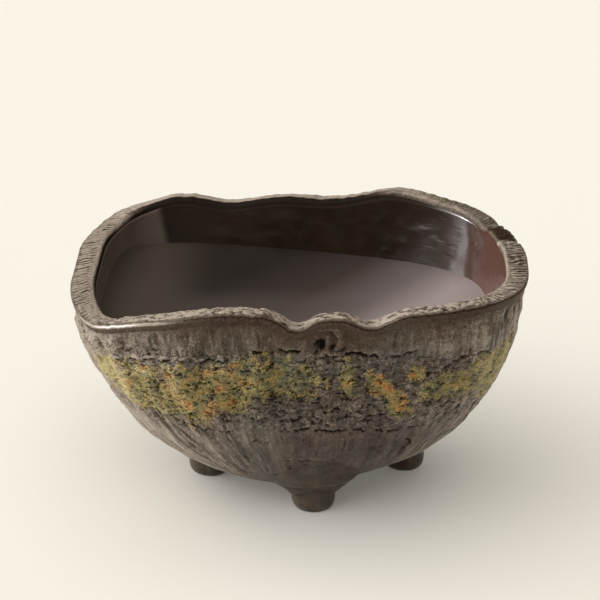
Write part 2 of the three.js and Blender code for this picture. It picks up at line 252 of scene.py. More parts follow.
@dataclass(frozen=True)
class PotForm:
    """Form of the body: outlines at the base and the rim, wall curves, rim waves and joints, in mm."""

    rim_width: float = 229.0
    rim_depth_left: float = 202.0
    rim_depth_right: float = 164.0
    rim_squareness: float = 3.7
    rim_skew: float = math.radians(-9.6)
    rim_height_left: float = 121.5
    rim_height_right: float = 140.0
    base_width: float = 134.0
    base_depth_left: float = 102.0
    base_depth_right: float = 84.0
    base_squareness: float = 1.55
    base_shift: tuple[float, float] = (4.0, 4.0)
    underside: float = 16.0
    floor_top: float = 28.0
    floor_inset: float = 5.0
    floor_squareness: float = 2.0
    seat_depth: float = 1.0
    wall_left: float = 11.5
    wall_right: float = 9.6
    outer_curve: Handles = Handles(0.395, 0.165, 0.916, 0.496)
    side_curve: Handles = Handles(0.42, 0.14, 1.08, 0.5)
    front_curve: Handles = Handles(0.36, 0.14, 0.78, 0.5)
    rim_course: float = 18.0
    lower_course_top: float = 62.0
    joint_slope: float = 3.0
    joint_wander: float = 1.6
    lip_proud: float = 1.5
    lip_depth: float = 5.0
    rim_crown: float = 0.5
    notch_at: float = 27.0
    notch_width: float = 8.0
    notch_depth: float = 5.0
    comb_grooves: int = 72
    comb_depth: float = 0.8
    ridges: int = 29
    ridge_proud: float = 0.8
    ridge_lean: float = 33.0
    ridge_break: float = 9.0
    wobble: float = 1.0
    wobble_rise: float = 21.0
    wobble_fall: float = 33.0
    strand_count: int = 38
    strand_proud: float = 1.2
    strand_front: float = 0.5
    strand_lean: float = 27.0
    strand_meander: float = 17.0
    outline_steps: int = 2880
    waves: tuple[Swell, ...] = (
        Swell(30, -2.6, 15),
        Swell(46, 1.2, 8),
        Swell(62, 6.2, 10),
        Swell(91, 1.6, 9),
        Swell(108, -1.8, 7),
        Swell(121, 3, 8),
        Swell(150, -2, 10),
        Swell(176, 2.8, 10),
        Swell(221, -6, 10),
        Swell(254, 4.6, 14),
        Swell(270.5, -6.5, 4),
        Swell(288, -5.6, 4.5),
        Swell(350, 2.4, 9),
        Swell(31, -1.6, 2.5),
    )

    def plan(self, angle: Array, width: float, left: float, right: float, squareness: float) -> Array:
        """Rounded rectangle (|cos|^n + |sin|^n)^(-1/n) whose depth runs evenly from left to right.

        Args:
            angle: places round the pot in radians.
            width: width of the outline.
            left: depth at the left end.
            right: depth at the right end.
            squareness: the power n, 2 for an oval and more for squarer corners.

        Returns:
            Points of the plan, with two values each.
        """
        c, s = np.cos(angle), np.sin(angle)
        reach = (np.abs(c) ** squareness + np.abs(s) ** squareness) ** (-1 / squareness)
        depth = mix(left, right, (reach * c + 1) / 2)
        return np.stack([reach * c * width / 2, reach * s * depth / 2], -1)

    def rim_plan(self, angle: Array) -> Array:
        """Outline of the mouth, skewed so that its right end lies further forward.

        Args:
            angle: places round the pot in radians.

        Returns:
            Points of the plan, with two values each.
        """
        p = self.plan(angle, self.rim_width, self.rim_depth_left, self.rim_depth_right, self.rim_squareness)
        p[..., 1] += p[..., 0] * math.tan(self.rim_skew)
        return p

    def base_plan(self, angle: Array, inset: float = 0.0, squareness: float | None = None) -> Array:
        """Outline of the underside, or of the floor inside it.

        Args:
            angle: places round the pot in radians.
            inset: how far inside the underside's edge it lies.
            squareness: power of the outline, by default that of the underside.

        Returns:
            Points of the plan, with two values each.
        """
        left, right = self.base_depth_left - 2 * inset, self.base_depth_right - 2 * inset
        power = squareness or self.base_squareness
        return self.plan(angle, self.base_width - 2 * inset, left, right, power) + self.base_shift

    def rim_normal(self, angle: Array) -> Array:
        """Outward direction of the mouth's outline: its run over a short step, turned by a quarter circle.

        Args:
            angle: places round the pot in radians.

        Returns:
            Unit directions in the plan, with two values each.
        """
        step = 0.02
        run = self.rim_plan(angle + step) - self.rim_plan(angle - step)
        run /= np.linalg.norm(run, axis=-1, keepdims=True)
        return np.stack([run[..., 1], -run[..., 0]], -1)

    def rightness(self, angle: Array) -> Array:
        """Share of the way from the left end to the right end of the mouth."""
        return self.rim_plan(angle)[..., 0] / self.rim_width + 0.5

    def mean_rim(self, angle: Array) -> Array:
        """Height of the rim without its waves: an even rise from left to right."""
        return mix(self.rim_height_left, self.rim_height_right, self.rightness(angle))

    def rim_height(self, angle: Array) -> Array:
        """Height of the torn rim: the even rise plus one bell curve for each wave."""
        return self.mean_rim(angle) + sum(wave.over(angle) for wave in self.waves)

    def around(self, angle: Array) -> Array:
        """Way round the mouth from +X, by summing short steps of its outline.

        Args:
            angle: places round the pot in radians.

        Returns:
            Ways in mm.
        """
        turns = np.linspace(0, 2 * np.pi, self.outline_steps + 1)
        steps = np.linalg.norm(np.diff(self.rim_plan(turns), axis=0), axis=1)
        return np.interp(angle % (2 * np.pi), turns, np.concatenate([[0], np.cumsum(steps)]))

    def outer(self, angle: Array, z: Array) -> Array:
        """Points of the outer face: the base outline blended to the rim's by the wall's curve, plus bark.

        Args:
            angle: places round the pot in radians.
            z: heights.

        Returns:
            Points with three values each.
        """
        up = (z - self.underside) / (self.mean_rim(angle) - self.underside)
        share = self.outer_curve.out(up)[..., None]
        p = mix(self.base_plan(angle), self.rim_plan(angle), share)
        p = p + self.rim_normal(angle) * self.coarse_bark(angle, z)[..., None]
        return np.concatenate([p, z[..., None]], -1)

    def inner(self, angle: Array, z: Array) -> Array:
        """Points of the inner face, whose curve is fuller at the sides than at the front and back.

        Args:
            angle: places round the pot in radians.
            z: heights.

        Returns:
            Points with three values each.
        """
        normal = self.rim_normal(angle)
        up = (z - self.floor_top) / (self.mean_rim(angle) - self.floor_top)
        share = mix(self.front_curve.out(up), self.side_curve.out(up), normal[..., 0] ** 2)
        wall = mix(self.wall_left, self.wall_right, self.rightness(angle))
        floor = self.base_plan(angle, self.floor_inset, self.floor_squareness)
        p = mix(floor, self.rim_plan(angle) - normal * wall[..., None], share[..., None])
        return np.concatenate([p, z[..., None]], -1)

    def coarse_bark(self, angle: Array, z: Array) -> Array:
        """Coarse ridges: a sine round the pot that leans and breaks up, a slow sway of the hand, and a closer
        sine whose phase meanders and which stands proudest at the two ends.

        Args:
            angle: places round the pot in radians.
            z: heights.

        Returns:
            Heights in mm over the smooth wall.
        """
        drop = self.rim_height(angle) - z
        fade = smooth(drop, self.lip_depth, 2 * self.lip_depth)
        fade = fade * smooth(z, self.floor_top, self.floor_top + self.rim_course)
        ridges = np.sin(self.ridges * angle + z / self.ridge_lean + 2 * np.sin(5 * angle))
        broken = 0.6 + 0.4 * np.sin(7 * angle + z / self.ridge_break)
        sway = np.sin(3 * angle + z / self.wobble_rise) * np.cos(5 * angle - z / self.wobble_fall)
        meander = 2.5 * np.sin(3 * angle) + np.sin(8 * angle + z / self.strand_meander)
        strands = np.sin(self.strand_count * angle - z / self.strand_lean + meander)
        strength = self.strand_proud * mix(self.strand_front, 1, self.rim_normal(angle)[..., 0] ** 2)
        return fade * (self.ridge_proud * ridges * broken + self.wobble * sway + strength * strands)

    def comb(self, angle: Array) -> Array:
        """Depth of the coarse comb grooves across the rim, which fade out towards the front and the back."""
        here = smooth(self.rim_normal(angle)[..., 0] ** 2, 0.2, 0.8)
        return self.comb_depth * here * (0.5 - 0.5 * np.cos(self.comb_grooves * angle))

    def wander(self, angle: Array) -> Array:
        """How far a joint between courses strays from its height."""
        return self.joint_wander * np.sin(4 * angle + 1) * np.cos(7 * angle)

    def lower_joint(self, angle: Array) -> Array:
        """Height of the joint between the lower course and the bark course."""
        return self.lower_course_top + self.wander(angle)

    def upper_joint(self, angle: Array) -> Array:
        """Height of the joint between the bark course and the rim course."""
        return self.mean_rim(angle) - self.rim_course + self.wander(angle + 1)


FORM = PotForm()


@dataclass(frozen=True)
class Patch:
    """Patch of moss-coloured glaze: centre and half width in degrees, centre and half height in mm, its slope
    in mm a degree and how ochre it is."""

    at: float
    z: float
    wide: float
    high: float
    slope: float
    ochre: float


@dataclass(frozen=True)
class Crack:
    """Ragged crack in the clay: its start and end in degrees, its height there, depth and half width."""

    start: float
    end: float
    z_start: float
    z_end: float
    depth: float
    width: float = 0.58


@dataclass(frozen=True)
class Zones:
    """Where each treatment of the wall applies, as shares from 0 to 1 at each point."""

    side: Array
    corner: Array
    flank: Array
    below_lip: Array
    lower: Array
    foot: Array
    crust: Array
    bark: Array
    above: Array
    brushed: Array


@dataclass(frozen=True)
class Marks:
    """Patterns of the marks on the wall at each point, about -1 to 1, or 0 to 1 where they are cuts."""

    fine: Array
    ribs: Array
    deep_ribs: Array
    ridges: Array
    scratches: Array
    level_cuts: Array
    steep_cuts: Array
    grain: Array
    flakes: Array
    pits: Array
    nicks: Array
    streaks: Array


@dataclass(frozen=True)
class Strengths:
    """How much each mark adds, in mm of height or in steps of shade. Two values are those at the front and at
    the flanks, off and on the bark, or above the bark and on the lower wall."""

    fine: float
    low_fine: float
    ribs: tuple[float, float]
    low_ribs: float
    deep_ribs: float
    ridges: float
    scratches: float
    level_cuts: float
    steep_cuts: float
    grain: tuple[float, float]
    flakes: tuple[float, float]
    pits: tuple[float, float]
    nicks: tuple[float, float]
    streaks: tuple[float, float]
    cracks: float
    brow: float
    knot: float


HEIGHTS = Strengths(
    fine=0.15, low_fine=0.35, ribs=(0.12, 0.62), low_ribs=0.75, deep_ribs=0.4, ridges=0.4, scratches=0.25,
    level_cuts=-0.8, steep_cuts=-0.9, grain=(0.042, 0.42), flakes=(0.022, 0.22), pits=(-0.17, -1.7),
    nicks=(-1.1, -0.385), streaks=(0.16, 0.16), cracks=-1.0, brow=0.4, knot=1.0)
SHADES = Strengths(
    fine=0.42, low_fine=1.0, ribs=(0.25, 1.3), low_ribs=1.0, deep_ribs=1.1, ridges=2.2, scratches=2.6,
    level_cuts=-2.7, steep_cuts=-3.4, grain=(0.5, 0.6), flakes=(0.0, 0.55), pits=(-0.9, -6.0),
    nicks=(-3.2, -1.28), streaks=(0.9, 0.54), cracks=-3.4, brow=0.8, knot=1.2)


@dataclass
class Bark:
    """Fine relief and finish of the outer wall as functions of the place round the pot and the height."""

    form: PotForm = FORM
    mouth_length: float = 722.95
    crest: float = 2.4
    lumps: float = 0.35
    crust: float = 0.3
    drips: float = 6.0
    knot_at: float = 278.0
    knot_drop: float = 11.0
    knot_shadow: float = 0.9
    # strength of the painted highlights on the brows above the cracks
    glint: float = 0.9
    # tone round the pot: the pale stretch at 212 degrees is painted light on the left flank, which faces the
    # lamps
    painted_light_stretches: tuple[Swell, ...] = (
        Swell(212, 0.27, 22),
        Swell(300, -0.06, 45),
        Swell(330, 0.03, 22),
        Swell(176, -0.14, 17),
    )
    patches: tuple[Patch, ...] = (
        Patch(225.5, 87, 5.5, 13, -1.0, 0.1),
        Patch(233, 85, 9, 17, -0.4, 0.0),
        Patch(243, 84, 8, 19, 0.3, 0.35),
        Patch(253, 90, 8, 17, 0.6, 0.25),
        Patch(263, 98, 8, 14, 0.5, -0.25),
        Patch(272, 98, 6, 12, 0.2, -0.45),
        Patch(283.2, 97, 2.2, 13, -1.2, -0.2),
        Patch(291, 95, 4.5, 7, -1.4, 0.75),
        Patch(296, 83, 4, 8, -1.2, 0.5),
        Patch(299, 101, 1.8, 5, 0.0, 0.25),
        Patch(306, 93, 6, 9, 0.3, -0.2),
        Patch(315, 97, 7, 12, 0.8, -0.1),
        Patch(325, 97, 6, 17, 0.6, -0.15),
        Patch(194, 85, 6, 6, 0.5, 0.1),
        Patch(178, 80, 9, 8, -0.7, 0.0),
        Patch(163, 88, 11, 12, 0.4, -0.2),
        Patch(146, 95, 12, 9, -0.5, 0.1),
        Patch(130, 88, 12, 13, 0.3, 0.2),
        Patch(113, 96, 10, 9, 0.7, 0.45),
        Patch(96, 90, 13, 12, -0.4, -0.2),
        Patch(78, 99, 11, 8, 0.3, 0.1),
        Patch(60, 94, 9, 12, 0.6, 0.3),
        Patch(44, 99, 10, 10, -0.6, -0.1),
        Patch(27, 90, 10, 12, 0.5, 0.0),
        Patch(10, 97, 11, 8, -0.5, 0.3),
        Patch(356, 89, 8, 10, 0.6, -0.1),
        Patch(345, 95, 8, 12, 0.5, 0.0),
    )
    cracks: tuple[Crack, ...] = (
        Crack(259, 274, 113.5, 114.6, 1.5, 0.65),
        Crack(273, 281, 114.0, 111.5, 1.1),
        Crack(281, 292, 114.0, 111.0, 1.5, 0.65),
        Crack(292, 300, 112.0, 115.5, 0.9),
        Crack(227, 245, 101.0, 106.0, 1.0),
        Crack(246, 256, 105.0, 108.5, 0.9),
        Crack(237, 243, 68.0, 63.0, 1.5, 0.65),
        Crack(243, 252, 62.5, 62.0, 0.8),
        Crack(266, 285, 67.0, 65.0, 1.7, 0.65),
        Crack(285, 300, 66.0, 63.0, 1.2),
        Crack(300, 306, 63.0, 66.0, 0.9),
        Crack(279, 283, 84.0, 79.0, 0.8),
        Crack(300, 309, 82.0, 85.0, 1.0),
        Crack(307, 318, 110.0, 112.0, 0.9),
        Crack(262, 285, 42.0, 40.5, 0.35),
        Crack(255, 262, 57.0, 55.0, 0.8),
        Crack(303, 307, 55.0, 50.0, 0.8),
        Crack(120, 146, 64.0, 62.0, 1.4, 0.65),
        Crack(96, 120, 108.0, 112.0, 1.2),
        Crack(60, 84, 65.0, 62.0, 1.4, 0.65),
        Crack(36, 58, 118.0, 116.0, 1.1),
        Crack(165, 182, 106.0, 103.0, 1.0),
        Crack(186, 204, 63.0, 66.0, 1.0),
        Crack(352, 370, 110.0, 112.0, 1.0),
        Crack(330, 348, 62.0, 60.0, 1.1),
    )

    def drawn(self, angle: Array, z: Array, across: float, down: float, lean: float = 0.0) -> Array:
        """Noise drawn out on the wall, on coordinates that wrap round the pot: a circle as long as the
        outline of the mouth, and the height.

        Args:
            angle: places round the pot in radians.
            z: heights.
            across: size of a mark along the wall.
            down: size of a mark down the wall.
            lean: how far a mark drifts round the pot for each mm of height.

        Returns:
            One value a point, about -1 to 1.
        """
        turn = (self.form.around(angle) + lean * z) * 2 * np.pi / self.mouth_length
        radius = self.mouth_length / (2 * np.pi) / across
        return NOISE(radius * np.cos(turn), radius * np.sin(turn), z / down)

    def strands(self, angle: Array, z: Array, grain: Grain) -> Array:
        """Noise of one of the named grains at places round the pot and heights."""
        shift, *sizes = grain.value
        return self.drawn(angle + shift, z, *sizes)

    def crests(self, angle: Array, z: Array, grain: Grain, sharpness: float | None = None) -> Array:
        """Sharp crests between round valleys: 1 less the size of the noise times the sharpness."""
        return 1 - (sharpness or self.crest) * np.abs(self.strands(angle, z, grain))

    def cuts(self, angle: Array, z: Array, grain: Grain) -> Array:
        """Thin broken lines: where a grain's noise passes through zero, kept where a second noise, a little
        shorter and taller, is high.

        Args:
            angle: places round the pot in radians.
            z: heights.
            grain: grain of the loops that the lines follow.

        Returns:
            Shares of the full depth, from 0 to 1.
        """
        shift, across, down, *lean = grain.value
        line = 1 - smooth(np.abs(self.strands(angle, z, grain)), 0.02, 0.13)
        return line * smooth(self.drawn(angle + shift + 0.4, z, across * 0.8, down * 1.2, *lean), -0.05, 0.25)

    def moss(self, angle: Array, z: Array) -> tuple[Array, Array]:
        """Cover and hue of the moss-coloured glaze: 1 - r^2 of the nearest patch, frayed by noise, and more
        loosely at the back and sides.

        Args:
            angle: places round the pot in radians.
            z: heights.

        Returns:
            The cover, above 0 inside a patch, and how ochre the glaze is, from -1 to 1.
        """
        cover = np.full(angle.shape, -1.0)
        ochre = np.zeros(angle.shape)
        weight = np.full(angle.shape, 1e-6)
        for patch in self.patches:
            turn = turn_from(angle, patch.at)
            rise = z - patch.z - patch.slope * turn
            inside = 1 - (turn / patch.wide) ** 2 - (rise / patch.high) ** 2
            cover = np.maximum(cover, inside)
            share = np.exp(3 * np.clip(inside, -2, 1))
            ochre += share * patch.ochre
            weight += share
        fray = 0.7 * self.strands(angle, z, Grain.PATCH_FRAY) + 0.75 * self.strands(angle, z, Grain.FINE_FRAY)
        unseen = 1 - smooth(near(angle, 265, 70), 0.15, 0.4)
        fray += 1.3 * unseen * self.strands(angle, z, Grain.LOOSE_FRAY)
        hue = 0.6 * self.strands(angle, z, Grain.HUE) + 0.5 * self.strands(angle, z, Grain.FINE_HUE)
        return cover + fray, ochre / weight + hue

    def cracked(self, angle: Array, z: Array) -> tuple[Array, Array]:
        """Cracks: a bell across a line that noise bends and breaks, with a raised brow above it.

        Args:
            angle: places round the pot in radians.
            z: heights.

        Returns:
            The cracks' depth in mm, and shares of the brow from 0 to 1.
        """
        bend = 1.6 * self.strands(angle, z, Grain.CRACK_BEND) + 1.0 * self.strands(angle, z, Grain.CRACK_JAGS)
        gap = smooth(self.strands(angle, z, Grain.CRACK_GAPS), -0.3, 0.05)
        depth, brow = np.zeros(angle.shape), np.zeros(angle.shape)
        for crack in self.cracks:
            share = turn_from(angle, crack.start) / (crack.end - crack.start)
            off = z - mix(crack.z_start, crack.z_end, share) - bend
            there = gap * smooth(share, 0, 0.12) * smooth(1 - share, 0, 0.12)
            depth = np.maximum(depth, crack.depth * there * bell(off, crack.width))
            brow = np.maximum(brow, there * bell(off - 1.7, 0.8))
        return depth, brow

    def knot(self, angle: Array, z: Array) -> Array:
        """Relief round the bark knot: a deep slot, a shallower hollow, a slanting groove and ridges between.

        Args:
            angle: places round the pot in radians.
            z: heights.

        Returns:
            Heights in mm, below zero in the hollows.
        """
        centre = np.radians(np.array([self.knot_at]))
        x = self.form.around(angle) - self.form.around(centre)
        y = z - (self.form.mean_rim(centre) - self.knot_drop)
        x = x + 0.9 * self.strands(angle, z, Grain.KNOT_SWAY)
        y = y + 1.1 * self.strands(angle, z, Grain.KNOT_RISE)
        slot = smooth(2.6 - np.abs(x + 3.7), 0, 1.5) * smooth(3.9 - np.abs(y + 3.0), 0, 1.8)
        rib = bell(x + 4.2, 0.55) * slot
        hollow = smooth(1.15 - np.hypot((x - 5) / 3.6, (y + 4.2) / 2.3), 0, 0.5)
        groove = bell((y - 6.4) + 0.85 * (x + 0.8), 0.8) * bell(x - 1.6, 3.2)
        ledge = bell(y + 8.2, 1.2) * smooth(11 - np.abs(x), 0, 4)
        post = bell(x - 0.6, 1.1) * smooth(5.5 - np.abs(y + 2.5), 0, 2)
        return 0.7 * ledge + 0.6 * post + 1.4 * rib - 2.6 * slot - 1.3 * hollow - 0.9 * groove

    def zones(self, angle: Array, z: Array, cover: Array) -> Zones:
        """Works out where each treatment of the clay applies, by the place round the pot and the height.

        Args:
            angle: places round the pot in radians.
            z: heights.
            cover: cover of the moss-coloured glaze, above 0 inside a patch.

        Returns:
            The zones.
        """
        corner = np.maximum(0.9 * near(angle, 333, 22), 0.8 * near(angle, 206, 17))
        side = np.maximum(smooth(self.form.rim_normal(angle)[..., 0] ** 2, 0.15, 0.8), corner)
        crust = smooth(cover, -0.2, 0.5)
        return Zones(
            side=side,
            corner=corner,
            flank=np.maximum(side, 0.8 * near(angle, 238, 20) * (1 - smooth(z, 62, 84))),
            below_lip=smooth(self.form.rim_height(angle) - z, 4.0, 9.5),
            lower=1 - smooth(z, 56, 70),
            foot=smooth(z, 20, 34),
            crust=crust,
            bark=smooth(z, 60, 74) * (1 - smooth(z, 108, 116) * (1 - crust)),
            above=smooth(z, 100, 110) * (1 - crust),
            brushed=np.minimum(near(angle, 247, 20) + 0.5 * near(angle, 300, 14), 1),
        )

    def marks(self, angle: Array, z: Array, points: Array, at: Zones) -> Marks:
        """Works out the patterns of the marks: drawn-out noise, its crests and its cuts, each in its zone.

        Args:
            angle: places round the pot in radians.
            z: heights.
            points: the same places as points in mm.
            at: the zones.

        Returns:
            The marks.
        """
        nicks = np.clip(self.strands(angle, z, Grain.NICKS) - 0.42, 0, 1)
        nicks += 0.8 * at.brushed * np.clip(self.strands(angle, z, Grain.BRUSHED_NICKS) - 0.3, 0, 1)
        steep = self.cuts(angle, z, Grain.STEEP_CUTS) + 0.7 * self.cuts(angle, z, Grain.LONG_CUTS)
        level = self.cuts(angle, z, Grain.LEVEL_CUTS) * (at.bark + 0.12) * (1 - 0.8 * at.side)
        return Marks(
            fine=self.strands(angle, z, Grain.FINE) + 0.7 * self.strands(angle, z, Grain.FINEST),
            ribs=self.crests(angle, z, Grain.RIBS),
            deep_ribs=self.crests(angle, z, Grain.DEEP_RIBS) * at.side,
            ridges=self.crests(angle, z, Grain.RIDGES) * at.corner * at.below_lip,
            scratches=self.cuts(angle, z, Grain.SCRATCHES) * at.flank,
            level_cuts=level * (1 - 0.85 * at.brushed * at.above),
            steep_cuts=steep * at.flank * mix(1.0, 0.8, at.lower),
            grain=NOISE.rough(points, 3.4, 3),
            flakes=self.crests(angle, z, Grain.FLAKES, 2.2),
            pits=np.clip(NOISE.rough(points + 50, 2.4, 2) - 0.4, 0, 1),
            nicks=nicks,
            streaks=self.strands(angle, z, Grain.STREAKS) + 0.7 * self.strands(angle, z, Grain.BROAD_STREAKS),
        )

    def summed(self, marks: Marks, at: Zones, by: Strengths, bark: Array) -> Array:
        """Sum of the marks, each times its strength in its zone.

        Args:
            marks: the marks.
            at: the zones.
            by: the strengths.
            bark: how far the bark's own marks show at each point, from 0 to 1.

        Returns:
            One value a point, in mm or steps of shade.
        """
        total = by.fine * marks.fine * mix(1.0, by.low_fine, at.lower)
        total += marks.ribs * mix(*by.ribs, at.flank) * mix(1.0, by.low_ribs, at.lower)
        total += by.deep_ribs * marks.deep_ribs + by.ridges * marks.ridges + by.scratches * marks.scratches
        total += by.level_cuts * marks.level_cuts + by.steep_cuts * marks.steep_cuts
        for mark, (off, on) in ((marks.grain, by.grain), (marks.flakes, by.flakes), (marks.pits, by.pits)):
            total += mark * (off + on * bark)
        total += marks.nicks * (by.nicks[0] * at.above + by.nicks[1] * at.lower)
        total += marks.streaks * (by.streaks[0] * at.brushed * at.above + by.streaks[1] * at.lower)
        return total

    def tone(self, angle: Array, z: Array, points: Array, at: Zones, brow: Array) -> Array:
        """How much lighter or darker the clay is: painted light on the left flank and lower left, painted shade
        under the lip, other stretches that are lighter or darker, clouds, and painted highlights on the brows.

        Args:
            angle: places round the pot in radians.
            z: heights.
            points: the same places as points in mm.
            at: the zones.
            brow: shares of the brow above the cracks.

        Returns:
            One value a point, where 0 is the clay's own tone.
        """
        drop = self.form.rim_height(angle) - z
        ragged = 2.0 * self.strands(angle, z, Grain.RAGGED_BAND)
        shaded = smooth(near(angle, 281, 46), 0.2, 0.7)
        # painted shade under the overhanging lip, stronger at the front
        band = (1 - smooth(drop + ragged, 7.5, 11)) * (1 - 0.75 * at.side) * mix(0.25, 1, shaded)
        tone = 0.1 * NOISE.rough(points + 20, 30, 2) - 0.02 * band + 0.06 * bell(drop - 16, 8)
        tone += 0.08 * at.side - 0.05 * at.lower + sum(swell.over(angle) for swell in self.painted_light_stretches)
        # painted light and sheen on the lower wall at the front left, which faces the lamps
        tone += 0.1 * at.lower * near(angle, 232, 24) - 0.03 * at.above * near(angle, 256, 30)
        # painted highlights: pale specks on the brows above the cracks
        glints = smooth(self.strands(angle, z, Grain.GLINTS), 0.05, 0.3)
        glints = glints * smooth(near(angle, 238, 12), 0.2, 0.6)
        return tone + self.glint * brow * glints * smooth(z, 90, 100)

    def finish(self, angle: Array, z: Array) -> tuple[Array, dict[Layer, Array]]:
        """Fine relief of the outer wall, and the layers that its finish reads.

        Both sum the same marks with strengths of their own, and add the cracks, their brows and the knot. The
        relief fades towards the lip and on the smoothed lower wall.

        Args:
            angle: places round the pot in radians.
            z: heights.

        Returns:
            Heights in mm, and the layers by name.
        """
        points = self.form.outer(angle, z)
        cover, hue = self.moss(angle, z)
        at = self.zones(angle, z, cover)
        marks = self.marks(angle, z, points, at)
        cracks, brow = self.cracked(angle, z)
        knot = self.knot(angle, z)

        relief = self.summed(marks, at, HEIGHTS, at.bark * (0.5 + 0.5 * at.crust))
        relief += self.crust * at.crust + self.lumps * NOISE.rough(points + 90, 16, 2)
        relief = relief * at.below_lip * mix(0.5, 1, at.foot)
        relief += HEIGHTS.cracks * cracks + HEIGHTS.brow * brow + HEIGHTS.knot * knot

        shade = self.summed(marks, at, SHADES, at.bark) + 0.7 * marks.fine * at.brushed * at.above
        shade -= self.drips * np.clip(self.strands(angle, z, Grain.DRIPS) - 0.44, 0, 1) * at.lower
        shade = shade * at.below_lip + SHADES.cracks * cracks + SHADES.brow * brow + SHADES.knot * knot
        shade -= self.knot_shadow * near(angle, self.knot_at, 5) * bell(z - 115, 8)
        return relief, {
            Layer.RELIEF: shade,
            Layer.MOSS: cover,
            Layer.OCHRE: hue,
            Layer.TONE: self.tone(angle, z, points, at, brow),
            Layer.BARK: at.bark * (1 - 0.6 * at.side) + 0.15 * at.lower,
        }


BARK = Bark()


def normals_of(points: Array) -> Array:
    """Unit normals of a grid whose columns close into a ring: the run across times the run up.

    Args:
        points: grid of rows and columns of points.

    Returns:
        Grid of unit vectors.
    """
    across = np.roll(points, -1, 1) - np.roll(points, 1, 1)
    up = np.gradient(points, axis=0)
    normal = np.cross(across, up)
    return normal / np.maximum(np.linalg.norm(normal, axis=-1, keepdims=True), 1e-9)


def smooth_rows(loops: Array, places: Array) -> Array:
    """Carries a smooth curve through a stack of loops: a Catmull-Rom curve from row to row.

    Args:
        loops: rows of points, each row one loop round the pot.
        places: where to read the curve, in rows.

    Returns:
        One loop for each place.
    """
    last = len(loops) - 1
    start = np.clip(np.floor(places).astype(int), 0, last - 1)
    t = (places - start)[:, None, None]
    a, b = loops[np.clip(start - 1, 0, last)], loops[start]
    c, d = loops[start + 1], loops[np.clip(start + 2, 0, last)]
    curve = 2 * b + (c - a) * t + (2 * a - 5 * b + 4 * c - d) * t**2 + (3 * b - a - 3 * c + d) * t**3
    return curve / 2


def make_mesh(
    name: str, points: Array, quads: Array, fans: Array, layers: dict[Layer, Array]
) -> bpy.types.Object:
    """Puts points and faces into a new smooth-shaded mesh object at the origin.

    Args:
        name: name of the piece.
        points: points in mm from the centre of the rim.
        quads: four corners a face.
        fans: three corners a face.
        layers: values of each layer at the points.

    Returns:
        The object, linked to the scene.
    """
    mesh = bpy.data.meshes.new(name)
    corners = np.concatenate([quads.ravel(), fans.ravel()])
    sizes = np.concatenate([np.full(len(quads), 4), np.full(len(fans), 3)])
    first = np.concatenate([[0], np.cumsum(sizes)[:-1]])
    mesh.vertices.add(len(points))
    mesh.loops.add(len(corners))
    mesh.polygons.add(len(sizes))
    mesh.vertices.foreach_set("co", ((points + POT_SHIFT) * MM).astype(np.float32).ravel())
    mesh.loops.foreach_set("vertex_index", corners.astype(np.int32))
    mesh.polygons.foreach_set("loop_start", first.astype(np.int32))
    mesh.polygons.foreach_set("use_smooth", np.ones(len(sizes), bool))
    mesh.update(calc_edges=True)
    mesh.validate()
    for layer, values in layers.items():
        attribute = mesh.attributes.new(layer.value, "FLOAT", "POINT")
        attribute.data.foreach_set("value", values.astype(np.float32).ravel())
    thing = bpy.data.objects.new(name, mesh)
    bpy.context.scene.collection.objects.link(thing)
    return thing


def skin(name: str, rows: Array, closed: bool, layers: dict[Layer, Array]) -> bpy.types.Object:
    """Joins loops round the pot into one closed skin, row to row, with a fan over each open end.

    Args:
        name: name of the piece.
        rows: loops of points, bottom to top on the outer face.
        closed: whether the last loop joins the first, as in a ring.
        layers: values of each layer, in the same rows and columns.

    Returns:
        The piece.
    """
    count, width = rows.shape[:2]
    number = np.arange(count * width).reshape(count, width)
    beside = np.roll(number, -1, 1)
    above, above_beside = np.roll(number, -1, 0), np.roll(beside, -1, 0)
    quads = np.stack([number, beside, above_beside, above], -1)
    quads = (quads if closed else quads[:-1]).reshape(-1, 4)
    points = rows.reshape(-1, 3)
    fans = np.zeros((0, 3), int)
    if not closed:
        middle = count * width
        points = np.concatenate([points, rows[[0, -1]].mean(1)])
        under = np.stack([np.full(width, middle), beside[0], number[0]], -1)
        over = np.stack([np.full(width, middle + 1), number[-1], beside[-1]], -1)
        fans = np.concatenate([under, over])
        layers = {k: np.concatenate([v.ravel(), v[0, :1], v[-1, :1]]) for k, v in layers.items()}
    return make_mesh(name, points, quads, fans, layers)


def blank(shape: tuple[int, ...], tone: float = 0.0) -> dict[Layer, Array]:
    """Layers of a plain stretch of clay: no relief, no glaze and one tone.

    Args:
        shape: rows and columns of the stretch.
        tone: its tone.

    Returns:
        The layers by name.
    """
    layers = {layer: np.zeros(shape) for layer in Layer}
    layers[Layer.MOSS] -= 2
    layers[Layer.TONE] += tone
    return layers


def stack(parts: list[tuple[Array, dict[Layer, Array]]]) -> tuple[Array, dict[Layer, Array]]:
    """Piles up stretches of rows, each with its layers."""
    rows = np.concatenate([points for points, _ in parts])
    return rows, {layer: np.concatenate([layers[layer] for _, layers in parts]) for layer in Layer}


Socket = bpy.types.NodeSocket
Stops = tuple[tuple[float, Colour], ...]


